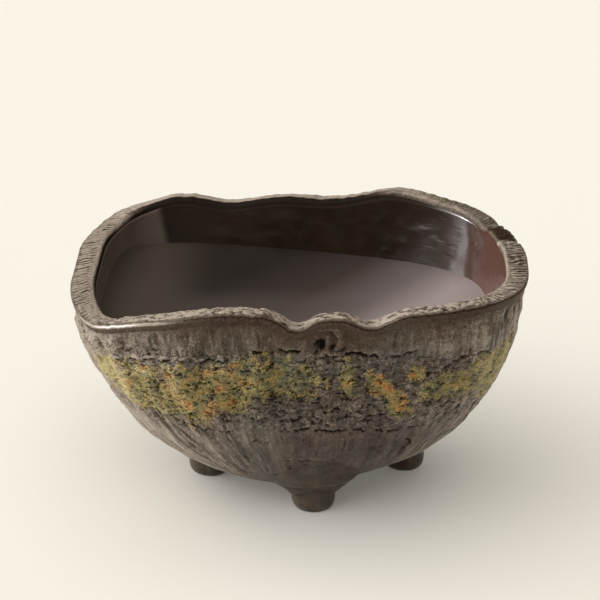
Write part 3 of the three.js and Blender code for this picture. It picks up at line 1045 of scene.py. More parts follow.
class Shader:
    """Small helper that adds nodes to a material and joins them."""

    def __init__(self, name: str) -> None:
        """Starts a material with its output, its surface shader and Object coordinates.

        Args:
            name: name of the material.
        """
        self.material = bpy.data.materials.new(name)
        self.material.use_nodes = True
        self.tree = self.material.node_tree
        self.surface = self.tree.nodes["Principled BSDF"]
        self.place = self.add("ShaderNodeTexCoord").outputs["Object"]

    def add(self, kind: str, **settings: object) -> bpy.types.Node:
        """Adds a node and sets its properties.

        Args:
            kind: Blender's name of the node's type.
            settings: the node's own properties.

        Returns:
            The node.
        """
        node = self.tree.nodes.new(kind)
        for key, value in settings.items():
            setattr(node, key, value)
        return node

    def feed(self, socket: Socket, value: object) -> None:
        """Links an output to a socket, or sets the socket to a constant.

        Args:
            socket: the input.
            value: an output, a number or a colour.
        """
        if isinstance(value, bpy.types.NodeSocket):
            self.tree.links.new(value, socket)
        else:
            socket.default_value = value

    def fill(self, node: bpy.types.Node, *values: object) -> bpy.types.Node:
        """Feeds a node's first inputs in order, and gives the node back.

        Args:
            node: the node.
            values: outputs or constants.

        Returns:
            The same node.
        """
        for socket, value in zip(node.inputs, values):
            self.feed(socket, value)
        return node

    def colour(self, value: object, roughness: object) -> None:
        """Gives the surface its colour and roughness.

        Args:
            value: the colour, as an output or three numbers of linear light.
            roughness: the roughness.
        """
        self.feed(self.surface.inputs["Base Color"], opaque(value))
        self.feed(self.surface.inputs["Roughness"], roughness)

    def maths(self, operation: str, *values: object) -> Socket:
        """One sum of up to three values."""
        return self.fill(self.add("ShaderNodeMath", operation=operation), *values).outputs[0]

    def scaled(self, value: object, by: object, plus: object = 0.0) -> Socket:
        """A value times a factor, plus an amount."""
        return self.maths("MULTIPLY_ADD", value, by, plus)

    def squeezed(self, scale: tuple[float, float, float]) -> Socket:
        """Object coordinates scaled on each axis, which draws a pattern out where the scale is small.

        Args:
            scale: factors along X, Y and Z.

        Returns:
            The coordinates.
        """
        node = self.add("ShaderNodeMapping")
        self.feed(node.inputs["Vector"], self.place)
        node.inputs["Scale"].default_value = scale
        return node.outputs["Vector"]

    def noise(
        self, cell: float, detail: float = 3.0, roughness: float = 0.55, place: object = None
    ) -> Socket:
        """Noise of about 0 to 1.

        Args:
            cell: size of its largest lumps in mm.
            detail: how many finer sizes are added.
            roughness: strength of each size against the one before.
            place: coordinates, by default the object's.

        Returns:
            The noise.
        """
        node = self.add("ShaderNodeTexNoise")
        self.feed(node.inputs["Vector"], place or self.place)
        for name, value in (("Scale", 1 / (cell * MM)), ("Detail", detail), ("Roughness", roughness)):
            node.inputs[name].default_value = value
        return node.outputs["Fac"]

    def layer(self, layer: Layer) -> Socket:
        """Values of one of the mesh's layers."""
        return self.add("ShaderNodeAttribute", attribute_name=layer.value).outputs["Fac"]

    def ramp(self, value: object, stops: Stops) -> Socket:
        """Colour that runs through stops.

        Args:
            value: place on the ramp, from 0 to 1.
            stops: places and their colours.

        Returns:
            The colour.
        """
        node = self.add("ShaderNodeValToRGB")
        elements = node.color_ramp.elements
        while len(elements) < len(stops):
            elements.new(0.5)
        for element, (place, colour) in zip(elements, stops):
            element.position = place
            element.color = (*colour, 1)
        return self.fill(node, value).outputs["Color"]

    def span(
        self, value: object, low: float, high: float, to_low: float = 0.0, to_high: float = 1.0
    ) -> Socket:
        """Maps the span from low to high smoothly onto another span."""
        node = self.add("ShaderNodeMapRange", interpolation_type="SMOOTHSTEP")
        return self.fill(node, value, low, high, to_low, to_high).outputs["Result"]

    def blend(self, share: object, first: object, second: object) -> Socket:
        """Blends two colours.

        Args:
            share: share of the second colour.
            first: the first colour, as an output or three numbers of linear light.
            second: the second colour.

        Returns:
            The blend.
        """
        node = self.add("ShaderNodeMix", data_type="RGBA", blend_type="MIX")
        for place, value in ((0, share), (6, opaque(first)), (7, opaque(second))):
            self.feed(node.inputs[place], value)
        return node.outputs[2]

    def bump(self, height: object, distance: float, strength: float = 1.0, under: object = None) -> Socket:
        """Normal of a height map.

        Args:
            height: the height, from 0 to 1.
            distance: full height in mm.
            strength: strength of the bump.
            under: normal that it lies on, by default the surface's.

        Returns:
            The normal.
        """
        node = self.add("ShaderNodeBump")
        for name, value in (("Distance", distance * MM), ("Strength", strength), ("Height", height)):
            self.feed(node.inputs[name], value)
        if under is not None:
            self.feed(node.inputs["Normal"], under)
        return node.outputs["Normal"]


def opaque(colour: object) -> object:
    """A colour with full cover added where it has three numbers, and an output as it is."""
    return (*colour, 1) if isinstance(colour, tuple) and len(colour) == 3 else colour


def srgb(red: int, green: int, blue: int) -> Colour:
    """Colour as seen on screen, from 0 to 255, turned into linear light by the sRGB curve.

    Args:
        red: red as seen.
        green: green as seen.
        blue: blue as seen.

    Returns:
        The three values of linear light.
    """
    seen = [value / 255 for value in (red, green, blue)]
    curve = [c / 12.92 if c <= 0.04045 else ((c + 0.055) / 1.055) ** 2.4 for c in seen]
    return curve[0], curve[1], curve[2]


@dataclass(frozen=True)
class Stoneware:
    """Unglazed stoneware: dark grooves, partly painted shade in the hollows, pale worn ridges and a satin face,
    with moss-coloured glaze where the cover layer says so."""

    name: str
    # colour of the grooves and hollows, partly painted shade
    groove: Colour = srgb(26, 18, 11)
    body: Colour = srgb(77, 67, 56)
    russet: Colour = srgb(83, 65, 52)
    umber: Colour = srgb(58, 40, 29)
    rust: Colour = srgb(76, 58, 46)
    ridge: Colour = srgb(158, 144, 131)
    # colour of a painted highlight, laid where the level runs over 2
    glint: Colour = srgb(232, 222, 224)
    crack: Colour = srgb(22, 16, 12)
    contrast: float = 0.17
    middle_level: float = 0.47
    gloss: float = 0.31
    mottle: float = 0.75
    speckle: float = 1.35
    calm: float = 0.4
    shine: float = 0.5
    moss_shadow: Colour = srgb(52, 40, 20)
    moss_tips: Colour = srgb(214, 196, 138)
    moss: Stops = (
        (0.0, srgb(84, 84, 66)),
        (0.2, srgb(104, 98, 62)),
        (0.4, srgb(132, 120, 66)),
        (0.58, srgb(154, 134, 74)),
        (0.74, srgb(172, 130, 64)),
        (0.92, srgb(180, 118, 52)),
    )

    def make(self) -> bpy.types.Material:
        """Builds the material: relief, tone and noise pick the clay's colour, and the cover lays glaze on it.

        Returns:
            The material.
        """
        s = Shader(self.name)
        relief, tone = s.layer(Layer.RELIEF), s.layer(Layer.TONE)
        cloud, mottle, fine = s.noise(34, 3), s.noise(1.8, 4, 0.7), s.noise(0.85, 3, 0.65)
        rough_here = s.scaled(s.layer(Layer.BARK), 1 - self.calm, self.calm)
        level = s.maths("ADD", s.scaled(relief, self.contrast, self.middle_level), tone)
        speckle = s.scaled(fine, self.speckle, -self.speckle / 2)
        speckle = s.maths("ADD", s.scaled(mottle, self.mottle, -self.mottle / 2), speckle)
        level = s.scaled(speckle, rough_here, level)
        clay = self.clay(s, level, s.scaled(tone, -1.1, cloud))
        glaze = self.glaze(s, relief, tone, fine)
        cover = s.scaled(mottle, 1.8, s.scaled(fine, 2.2, s.layer(Layer.MOSS)))
        share = s.span(cover, 1.8, 2.45, 0.0, 0.9)
        crack = self.hair_cracks(s)
        rough = s.scaled(share, 0.15, s.scaled(mottle, 0.3, self.gloss - 0.15))
        s.colour(s.blend(crack, s.blend(share, clay, glaze), self.crack), rough)
        s.feed(s.surface.inputs["Specular IOR Level"], s.span(level, 0.05, 0.55, 0.08, self.shine))
        split = s.bump(s.maths("MULTIPLY", crack, -1.0), 0.7)
        grain = s.bump(s.maths("MULTIPLY", mottle, rough_here), 1.0, under=split)
        grain = s.bump(s.maths("MULTIPLY", fine, rough_here), 0.7, under=grain)
        s.feed(s.surface.inputs["Normal"], grain)
        return s.material

    def clay(self, s: Shader, level: Socket, warmth: Socket) -> Socket:
        """Colour of the clay, from the dark grooves, partly painted shade, over the body to the worn ridges and
        a painted highlight.

        Args:
            s: the material's helper.
            level: how high and light each point is, about 0 to 1, and over 2 where a painted highlight lies.
            warmth: how warm the clay is, about 0 to 1.

        Returns:
            The colour.
        """
        body = s.blend(s.span(warmth, 0.4, 0.62), self.body, self.russet)
        body = s.blend(s.span(warmth, 0.62, 0.85), body, self.rust)
        between = tuple(mix(np.array(self.groove), np.array(self.body), 0.6))
        middle = s.blend(s.span(warmth, 0.5, 0.75), between, self.umber)
        low = s.blend(s.span(level, 0.0, 0.3), self.groove, middle)
        clay = s.blend(s.span(level, 0.28, 0.5), low, s.blend(s.span(level, 0.45, 0.95), body, self.ridge))
        # painted highlight where the level runs over 2
        return s.blend(s.span(level, 2.0, 2.6), clay, self.glint)

    def glaze(self, s: Shader, relief: Socket, tone: Socket, fine: Socket) -> Socket:
        """Colour of the moss-coloured glaze: its hue by the ochre layer and noise, dark in the low places and
        pale on the tips.

        Args:
            s: the material's helper.
            relief: the relief layer.
            tone: the tone layer.
            fine: the finest noise.

        Returns:
            The colour.
        """
        hue = s.scaled(s.layer(Layer.OCHRE), 0.3, 0.42)
        hue = s.maths("ADD", hue, s.scaled(s.noise(6.5, 3, 0.6), 1.9, -0.95))
        hue = s.maths("ADD", hue, s.scaled(fine, 0.3, -0.15))
        light = s.scaled(tone, 1.7, s.scaled(relief, 0.14, s.scaled(fine, 1.6, -0.35)))
        pale = s.blend(s.span(light, 0.5, 1.0, 0.0, 0.6), s.ramp(hue, self.moss), self.moss_tips)
        return s.blend(s.span(light, -0.05, 0.5), self.moss_shadow, pale)

    def hair_cracks(self, s: Shader) -> Socket:
        """Fine level cracks of the bark: lines where flattened noise passes its middle, broken by another.

        Args:
            s: the material's helper.

        Returns:
            How deep in a crack each point lies, from 0 to 1.
        """
        flat = s.squeezed((0.42, 0.42, 1.0))
        off = s.maths("ABSOLUTE", s.maths("SUBTRACT", s.noise(3.0, 2, 0.6, flat), 0.5))
        line = s.span(off, 0.012, 0.035, 1.0, 0.0)
        gate = s.span(s.noise(2.6, 2, 0.5, flat), 0.48, 0.6)
        return s.maths("MULTIPLY", s.maths("MULTIPLY", line, gate), s.layer(Layer.BARK))


@dataclass(frozen=True)
class BowlGlaze:
    """Glossy dark brown glaze inside the bowl, redder at the right end, partly as painted light, and greyer and
    paler from the back left round the left end as painted reflection and painted light, with brush lines that
    run level."""

    name: str = "bowl_glaze"
    dark: Colour = srgb(30, 20, 13)
    warm: Colour = srgb(40, 28, 20)
    # red glaze at the right end, made lighter as painted light where the wall faces the lamps
    red: Colour = srgb(80, 50, 39)
    # painted reflection at the back left corner and painted light along the left end: greyer, paler glaze
    painted_light_and_reflection: Colour = srgb(112, 98, 88)

    def make(self) -> bpy.types.Material:
        """Builds the material: clouds of two browns under a clear gloss, rippled by fine level lines.

        Returns:
            The material.
        """
        s = Shader(self.name)
        brown = s.ramp(s.noise(30, 3, 0.5), ((0.35, self.dark), (0.7, self.warm)))
        # painted light on the right end, partly a redder glaze
        brown = s.blend(s.layer(Layer.TONE), brown, self.red)
        rough = s.maths("MAXIMUM", s.span(s.noise(9, 4), 0.3, 0.7, 0.14, 0.25), s.layer(Layer.RELIEF))
        # lays the painted reflection and painted light of the back left and left end over the brown
        s.colour(s.blend(s.layer(Layer.OCHRE), brown, self.painted_light_and_reflection), rough)
        s.feed(s.surface.inputs["Specular IOR Level"], s.span(s.layer(Layer.MOSS), -1.0, 1.0, 0.0, 1.0))
        lines = s.noise(1.4, 2, 0.5, s.squeezed((0.12, 0.12, 1.0)))
        lines = s.maths("MULTIPLY", lines, s.span(s.layer(Layer.MOSS), 0.2, 1.0, 0.3, 1.0))
        s.feed(s.surface.inputs["Normal"], s.bump(s.noise(7, 2), 0.25, 0.5, s.bump(lines, 0.13, 0.8)))
        return s.material


@dataclass(frozen=True)
class Water:
    """Still water whose colours are painted light and reflection: brown at the left, dark in the middle and
    paler towards the front right."""

    name: str = "water"
    # painted light and reflection across the water, dark at the back and pale towards the front right
    painted_light_ramp: Stops = (
        (0.26, srgb(38, 31, 27)),
        (0.37, srgb(34, 28, 26)),
        (0.62, srgb(57, 48, 45)),
        (0.8, srgb(98, 88, 87)),
        (0.94, srgb(148, 135, 134)),
    )
    # painted light on the water at the left
    left: Colour = srgb(66, 57, 48)
    # painted light on the water at the front
    front: Colour = srgb(78, 68, 64)
    towards: tuple[float, float, float] = (0.82, -0.57, 0.0)
    start: float = -110.0
    end: float = 75.0
    roughness: float = 0.3
    refraction: float = 1.333

    def make(self) -> bpy.types.Material:
        """Builds the material: colours of painted light and reflection that run one way across the sheet, under
        a soft mirror.

        Returns:
            The material.
        """
        s = Shader(self.name)
        dot = s.fill(s.add("ShaderNodeVectorMath", operation="DOT_PRODUCT"), s.place, self.towards)
        length = (self.end - self.start) * MM
        share = s.scaled(dot.outputs["Value"], 1 / length, -self.start * MM / length)
        split = s.fill(s.add("ShaderNodeSeparateXYZ"), s.place)
        x, y = split.outputs["X"], split.outputs["Y"]
        # share of the painted light at the front, in the middle of the water
        painted_front_light = s.maths("MULTIPLY", s.span(y, -0.015, 0.015, 0.5, 0.0), s.span(x, 0.015, 0.045, 1.0, 0.0))
        painted_light_ramp = s.blend(painted_front_light, s.ramp(share, self.painted_light_ramp), self.front)
        s.colour(s.blend(s.span(x, -0.076, -0.042, 1.0, 0.0), painted_light_ramp, self.left), self.roughness)
        s.surface.inputs["IOR"].default_value = self.refraction
        return s.material


@dataclass(frozen=True)
class Paper:
    """Pale paper of the studio's floor, a little lighter to the eye than the light that it gives back."""

    name: str = "paper"
    colour: Colour = srgb(231, 228, 221)
    glow: Colour = srgb(250, 246, 236)
    glow_strength: float = 0.1

    def make(self) -> bpy.types.Material:
        """Builds the material: matt paper that glows a little to the camera and in mirrors.

        Returns:
            The material.
        """
        s = Shader(self.name)
        path = s.add("ShaderNodeLightPath")
        seen = s.maths("MAXIMUM", path.outputs["Is Camera Ray"], path.outputs["Is Glossy Ray"])
        s.surface.inputs["Emission Color"].default_value = (*self.glow, 1)
        s.feed(s.surface.inputs["Emission Strength"], s.maths("MULTIPLY", seen, self.glow_strength))
        s.colour(self.colour, 1.0)
        s.surface.inputs["Specular IOR Level"].default_value = 0.0
        return s.material


RIM_CLAY = Stoneware("rim_clay", body=srgb(84, 74, 63), calm=0.6, gloss=0.62, shine=0.25)
BARK_CLAY = Stoneware("bark_clay")
SMOOTH_CLAY = Stoneware("smooth_clay")
FOOT_CLAY = Stoneware(
    "foot_clay", body=srgb(72, 64, 51), russet=srgb(74, 62, 49), rust=srgb(70, 58, 45), contrast=0.1,
    mottle=0.4)


def dress(
    piece: bpy.types.Object, material: bpy.types.Material, nodes: tuple[str, ...] = ()
) -> None:
    """Gives a piece its material, its body and the CAD nodes that it stands for.

    Args:
        piece: the piece.
        material: its material.
        nodes: names of the CAD nodes that it replaces.
    """
    piece.data.materials.append(material)
    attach(piece, "root")
    if nodes:
        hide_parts(*nodes)
    log.info("%s: %d faces", piece.name, len(piece.data.polygons))


def ring_of_angles(stations: int) -> Array:
    """Even angles round the pot, in radians."""
    return np.arange(stations) * 2 * np.pi / stations


def doubled_ends(count: int, tiny: float = 0.0005) -> Array:
    """Even shares from 0 to 1 whose first and last steps are tiny, so that the edge shades like the face."""
    return np.concatenate([[0], np.linspace(tiny, 1 - tiny, count - 2), [1]])


def bark_face(form: PotForm, angle: Array, z: Array) -> tuple[Array, dict[Layer, Array]]:
    """Rows up the outer wall, pushed out along their normals by the bark's relief.

    Args:
        form: the pot's form.
        angle: places round the pot in radians, one for each column.
        z: heights, in rows.

    Returns:
        Rows of points, and their layers.
    """
    a = np.broadcast_to(angle, z.shape)
    points = form.outer(a, z)
    relief, layers = BARK.finish(a, z)
    return points + normals_of(points) * relief[..., None], layers


@dataclass
class Course:
    """One course of the wall between two joints, with bark on its outer face."""

    name: str
    node: str
    slot: str
    finish: Stoneware
    stations: int = 1200
    outer_rows: int = 76
    inner_rows: int = 6
    form: PotForm = FORM

    def limits(self, angle: Array) -> tuple[Array, Array]:
        """Heights of the joints below and above it on the outer face, here of the bark course.

        Args:
            angle: places round the pot in radians.

        Returns:
            Two rows of heights in mm.
        """
        return self.form.lower_joint(angle), self.form.upper_joint(angle)

    def slope(self) -> float:
        """Rise of its lower joint from the outer to the inner face."""
        return self.form.joint_slope

    def build(self) -> bpy.types.Object:
        """Makes the course: rows up the outer face with their relief, then down the plain inner face.

        Returns:
            The dressed piece.
        """
        angle = ring_of_angles(self.stations)
        bottom, top = self.limits(angle)
        points, layers = bark_face(self.form, angle, mix(bottom, top, doubled_ends(self.outer_rows)[:, None]))
        a_in = np.broadcast_to(angle, (self.inner_rows, self.stations))
        down = np.linspace(0, 1, self.inner_rows)[:, None]
        inside = self.form.inner(a_in, mix(top + self.form.joint_slope, bottom + self.slope(), down))
        rows, layers = stack([(points, layers), (inside, blank(a_in.shape))])
        piece = skin(self.name, rows, True, layers)
        dress(piece, self.finish.make(), (self.node,))
        return piece


@dataclass
class LowerCourse(Course):
    """The smoothed lower course, which stands level on the floor slab."""

    outer_rows: int = 64

    def limits(self, angle: Array) -> tuple[Array, Array]:
        """Heights of its seat on the slab and of the joint above it.

        Args:
            angle: places round the pot in radians.

        Returns:
            Two rows of heights in mm.
        """
        return np.full(angle.shape, self.form.floor_top - self.form.seat_depth), self.form.lower_joint(angle)

    def slope(self) -> float:
        """Rise of its seat from the outer to the inner face: none."""
        return 0.0


@dataclass
class RimCourse:
    """The top course: bark face, rolled lip, combed and torn top, and the inner edge."""

    stations: int = 1200
    face_rows: int = 26
    top_rows: int = 34
    inner_rows: int = 8
    top_width: float = 16.0
    comb_pitch: float = 2.1
    comb_lean: float = 0.35
    comb_height: float = 0.42
    comb_shade: float = 4.2
    torn_height: float = 0.4
    torn_shade: float = 3.6
    hole_depth: float = 1.8
    hole_shade: float = 11.0
    pit_depth: float = 1.3
    pit_shade: float = 5.0
    # strength of the painted highlight on the lip's left corner
    glint: float = 3.2
    ledge_at: float = 7.0
    form: PotForm = FORM

    def height(self, angle: Array) -> Array:
        """Height of the torn edge: the waves, a ragged edge, the notch, and the lobe beside it and its ledge.

        Args:
            angle: places round the pot in radians.

        Returns:
            Heights in mm.
        """
        form, level = self.form, np.zeros(angle.shape)
        from_notch = form.around(angle) - form.around(np.radians(np.array([form.notch_at])))
        notch = np.clip(1 - np.abs(from_notch + 0.6) / (form.notch_width * 0.42), 0, 1)
        turn = turn_from(angle, self.ledge_at)
        ragged = 0.45 * BARK.strands(angle, level, Grain.EDGE)
        ragged += 0.2 * BARK.strands(angle, level, Grain.FINE_EDGE)
        ragged -= 1.9 * bell(turn, 2.2) + 0.5 * smooth(turn, 1, 4) * (1 - smooth(turn, 17, 21))
        ragged += 1.3 * smooth(-turn, 1.5, 4) * (1 - smooth(-turn, 8, 24))
        return form.rim_height(angle) + ragged - form.notch_depth * 0.4 * notch

    def section(self, angle: Array) -> Array:
        """Loops of the lip and top, from the foot of the lip over the crown to the inner edge.

        Args:
            angle: places round the pot in radians.

        Returns:
            Rows of points, one row for each loop.
        """
        form, rim = self.form, self.height(angle)
        out = np.concatenate([form.rim_normal(angle), np.zeros((*angle.shape, 1))], -1)
        lip = [(1.0, 0.0), (0.75, 0.55), (0.45, 0.9), (0.12, 0.85)]
        loops = [form.outer(angle, rim - d * form.lip_depth) + out * p * form.lip_proud for d, p in lip]
        over = ((0.07, 0.1, 0.7), (0.3, 0.8, 1), (0.5, 1.0, 1), (0.7, 0.8, 0.5), (0.88, 0.0, 0))
        for share, crown, combed in over:
            z = rim + crown * form.rim_crown - combed * form.comb(angle)
            loops.append(mix(form.outer(angle, z), form.inner(angle, z), share))
        loops += [form.inner(angle, rim - down * form.lip_depth) for down in (0.3, 0.9)]
        return np.stack(loops)

    def lobe(self, angle: Array) -> Array:
        """Shares of the lobe that lies beside the ledge in the rim."""
        from_ledge = turn_from(angle, self.ledge_at)
        return smooth(from_ledge, 1.5, 4) * (1 - smooth(from_ledge, 19, 23))

    def back(self, angle: Array) -> Array:
        """Shares of the back of the rim, which is smoother, and paler partly as painted sheen."""
        return smooth(near(angle, 100, 52), 0.3, 0.8)

    def comb(self, angle: Array, across: Array) -> Array:
        """Radial comb lines: a sine along the rim whose phase is shaken by noise, so that its lines bend and
        break, at the sides and corners only.

        Args:
            angle: places round the pot in radians.
            across: way over the rim in mm.

        Returns:
            One value a point, about -1 to 1.
        """
        shake = 1.3 * BARK.strands(angle, across, Grain.COMB_SHAKE)
        shake = shake + 1.0 * BARK.strands(angle, across, Grain.FINE_COMB_SHAKE)
        way = self.form.around(angle) + self.comb_lean * across
        comb = np.sin(2 * np.pi * way / self.comb_pitch + 2.4 * shake)
        comb = comb * np.clip(0.65 + 0.8 * BARK.strands(angle, across, Grain.COMB_BREAKS), 0.1, 1.3)
        front = smooth(near(angle, 267, 52), 0.25, 0.65)
        comb = comb * (1 - front) * (1 - 0.85 * self.back(angle)) * (1 - near(angle, self.ledge_at, 3))
        return comb * (1 - 0.7 * self.lobe(angle)) * (1 - 0.75 * near(angle, 50, 16))

    def top_tone(self, angle: Array, share: Array, on_top: Array, soft: Array) -> Array:
        """How much lighter or darker the lip and top are: a pale outer edge, partly wear and partly painted
        highlight, painted shade on the lip's face and a painted shadow line under the edge of the top at the
        front, a bead along the inner edge, glaze that climbs over the inner side at the back and left, a paler
        back partly as painted sheen, and a painted highlight on the lip's left corner.

        Args:
            angle: places round the pot in radians.
            share: share of the way from the foot of the lip to the inner edge.
            on_top: shares of the flat top.
            soft: slow noise along the rim.

        Returns:
            One value a point, where 0 is the clay's own tone.
        """
        right = smooth(near(angle, 350, 42), 0.2, 0.7)
        east = smooth(near(angle, 15, 55), 0.1, 0.8)
        shaded = smooth(near(angle, 281, 46), 0.2, 0.7)
        ledge = 0.35 * near(angle, self.ledge_at, 2.2) + 0.1 * near(angle, 48, 16)
        # pale outer edge of the top: partly wear, partly a painted highlight along the lip's edge
        worn = 0.6 + 0.8 * BARK.strands(angle, share * self.top_width, Grain.WORN_EDGE)
        # the back of the top is made paler, partly as painted sheen
        tone = 0.3 - 0.26 * east + 0.16 * self.back(angle) + 0.12 * soft + ledge - 0.34 * self.lobe(angle)
        tone = tone * on_top
        tone += 0.22 * bell(share - 0.27, 0.025) * worn + (0.05 + 0.2 * right) * bell(share - 0.79, 0.06)
        # painted shade on the lip's outer face and a painted shadow line under the edge of the top, strongest
        # at the front
        tone -= 0.1 * (1 - smooth(share, 0.2, 0.27)) * mix(0.25, 1, shaded)
        tone -= 0.42 * shaded * bell(share - 0.245, 0.022) + 0.4 * smooth(share, 0.88, 1.0) * (1 - right)
        inwards = share + 0.03 * soft
        tone -= 1.1 * smooth(near(angle, 102, 44), 0.3, 0.75) * smooth(inwards, 0.6, 0.72)
        tone -= 0.6 * smooth(near(angle, 186, 36), 0.3, 0.75) * smooth(inwards, 0.74, 0.82)
        # painted highlight: a narrow pale line along the left corner of the lip
        return tone + self.glint * near(angle, 230, 9) * bell(share - 0.222, 0.028)

    def top_relief(self, angle: Array, share: Array) -> tuple[Array, dict[Layer, Array]]:
        """Relief of the lip and top: comb lines at the sides and corners, torn strands at the front.

        The comb fades before the inner edge. The torn strands are noise drawn out along the rim.

        Args:
            angle: places round the pot in radians.
            share: share of the way from the foot of the lip to the inner edge.

        Returns:
            Heights in mm, and the layers by name.
        """
        across = share * self.top_width
        front = smooth(near(angle, 267, 52), 0.25, 0.65)
        window = smooth(share, 0.24, 0.34) * (1 - smooth(share, 0.62, 0.72))
        on_top = smooth(share, 0.26 + 0.05 * front, 0.33 + 0.05 * front) * (1 - smooth(share, 0.76, 0.86))
        comb = self.comb(angle, across) * window
        torn = BARK.strands(angle, across, Grain.TORN) + 0.7 * BARK.strands(angle, across, Grain.FINE_TORN)
        holes = np.clip(BARK.strands(angle, across, Grain.HOLES) - 0.23, 0, 1)
        pits = np.clip(BARK.strands(angle, across, Grain.RIM_PITS) - 0.5, 0, 1) * window
        soft = BARK.strands(angle, across, Grain.SOFT_LUMPS)
        relief = (self.torn_height * torn - self.hole_depth * holes) * front * on_top
        relief += self.comb_height * comb + 0.12 * torn * (1 - front) * window
        relief += 0.3 * soft * on_top - self.pit_depth * pits
        shade = (self.comb_shade + 1.6 * near(angle, 190, 40)) * comb - self.pit_shade * pits
        shade += (self.torn_shade * torn + 0.5 - self.hole_shade * holes) * front * on_top
        shade += 0.5 * torn * (1 - front) * on_top
        green = near(angle, 52, 12) + 0.7 * near(angle, 182, 30) + 0.9 * self.lobe(angle)
        layers = blank(angle.shape)
        layers[Layer.RELIEF] = shade
        layers[Layer.TONE] = self.top_tone(angle, share, on_top, soft)
        layers[Layer.MOSS] = -1.3 + 1.1 * green * on_top + 0.6 * BARK.strands(angle, across, Grain.RIM_MOSS)
        layers[Layer.OCHRE] = np.full(angle.shape, -0.6)
        return relief, layers

    def build(self) -> bpy.types.Object:
        """Makes the rim course from its face, its top and its inner rows.

        Returns:
            The dressed piece.
        """
        form, angle = self.form, ring_of_angles(self.stations)
        bottom = form.upper_joint(angle)
        share = doubled_ends(self.face_rows + 1)[:-1, None]
        face, face_layers = bark_face(form, angle, mix(bottom, self.height(angle) - form.lip_depth, share))

        loops = self.section(angle)
        top = smooth_rows(loops, np.linspace(0, len(loops) - 1, self.top_rows))
        a_top = np.broadcast_to(angle, top.shape[:2])
        step = np.linalg.norm(np.diff(top, axis=0), axis=-1).mean(1)
        way = np.concatenate([[0], np.cumsum(step)])
        share_top = np.broadcast_to((way / way[-1])[:, None], a_top.shape)
        relief, top_layers = self.top_relief(a_top, share_top)
        ends = smooth(share_top, 0, 0.06) * smooth(1 - share_top, 0, 0.06)
        top = top + normals_of(top) * (relief * ends)[..., None]

        a_in = np.broadcast_to(angle, (self.inner_rows, self.stations))
        z_top = self.height(angle) - 0.9 * form.lip_depth
        z_in = mix(z_top, bottom + form.joint_slope, np.linspace(0, 1, self.inner_rows + 1)[1:, None])
        inside = form.inner(a_in, z_in)
        rows, layers = stack([(face, face_layers), (top, top_layers), (inside, blank(a_in.shape, -0.2))])
        piece = skin("rim_course", rows, True, layers)
        dress(piece, RIM_CLAY.make(), ("rim_band",))
        return piece


@dataclass
class BowlCoat:
    """The coat of glossy glaze that covers the inner wall and the floor of the bowl, as one slender skin."""

    stations: int = 600
    wall_rows: int = 70
    floor_rows: int = 12
    thickness: float = 0.35
    below_rim: float = 2.4
    # place of the painted light on the right end of the inner wall
    lit_red_at: float = 2.0
    # start of the painted reflection at the back left corner
    painted_light_and_reflection_from: float = 126.5
    glint_at: float = 44.0
    streak_at: float = 42.0
    streak_lean: float = 0.33
    form: PotForm = FORM

    def face(self, angle: Array, lift: float) -> Array:
        """Loops from the middle of the floor out and up the wall to just below the rim.

        Args:
            angle: places round the pot in radians.
            lift: how far the loops stand off the clay.

        Returns:
            Rows of points.
        """
        form = self.form
        edge = form.inner(angle, np.full(angle.shape, form.floor_top))
        middle = np.array([*form.base_shift, form.floor_top])
        floor = mix(middle, edge, np.linspace(0.04, 1, self.floor_rows)[:, None, None])
        a = np.broadcast_to(angle, (self.wall_rows, len(angle)))
        share = np.linspace(0, 1, self.wall_rows + 1)[1:, None]
        z = mix(form.floor_top, form.rim_height(angle) - self.below_rim, share**1.15)
        ripple = 0.35 * BARK.strands(a, z, Grain.RIPPLE) + 0.18 * BARK.strands(a, z, Grain.FINE_RIPPLE)
        rows = np.concatenate([floor, form.inner(a, z)])
        ripple = ripple * smooth(share, 0, 0.2) * smooth(1 - share, 0, 0.1)
        push = np.concatenate([np.zeros(floor.shape[:2]), ripple])
        normal = -normals_of(rows)
        normal[: self.floor_rows - 1] = (0, 0, 1)
        return rows + normal * (push + lift)[..., None]

    def layers(self, angle: Array, rows: Array, matt: Array) -> dict[Layer, Array]:
        """Layers of the glaze: redder at the right as painted light, greyer and paler from the back left round
        the left end as painted reflection and painted light, matt on its back and edge, and glassy down one
        leaning streak.

        Args:
            angle: places round the pot in radians.
            rows: rows of points.
            matt: how matt each row is, from 0 to 1.

        Returns:
            The layers by name.
        """
        layers = blank(rows.shape[:2])
        # painted light on the right end of the inner wall, partly a redder glaze
        red = smooth(near(angle, self.lit_red_at, 40), 0.1, 0.9)
        # painted reflection at the back left corner and painted light on the left end
        turn = turn_from(angle, self.painted_light_and_reflection_from)
        painted_light_and_reflection = smooth(turn, 0, 3) * (0.6 + 0.3 * smooth(turn, 10, 26)) * (1 - smooth(turn, 85, 105))
        drop = self.form.rim_height(angle) - rows[..., 2]
        from_streak = turn_from(angle, self.streak_at) - self.streak_lean * np.clip(drop - 4, 0, 30)
        glassy = mix(-0.05, 1, smooth(bell(from_streak, 8.5), 0.15, 0.75))
        layers[Layer.TONE] = np.broadcast_to(red, rows.shape[:2])
        layers[Layer.OCHRE] = np.broadcast_to(painted_light_and_reflection, rows.shape[:2])
        layers[Layer.RELIEF] = matt[:, None] * (1 - near(angle, self.glint_at, 9))
        layers[Layer.MOSS] = mix(glassy, -1, layers[Layer.RELIEF])
        return layers

    def build(self) -> bpy.types.Object:
        """Makes the coat: its face seen from the bowl, turned over at the rim onto its back.

        Returns:
            The dressed piece.
        """
        angle = ring_of_angles(self.stations)
        face, back = self.face(angle, self.thickness), self.face(angle, 0.0)
        rows = np.concatenate([back, face[::-1]])
        matt = np.concatenate([np.ones(len(back)), [0.9, 0.4], np.zeros(len(face) - 2)])
        piece = skin("bowl_coat", rows, False, self.layers(angle, rows, matt))
        dress(piece, BowlGlaze().make())
        return piece


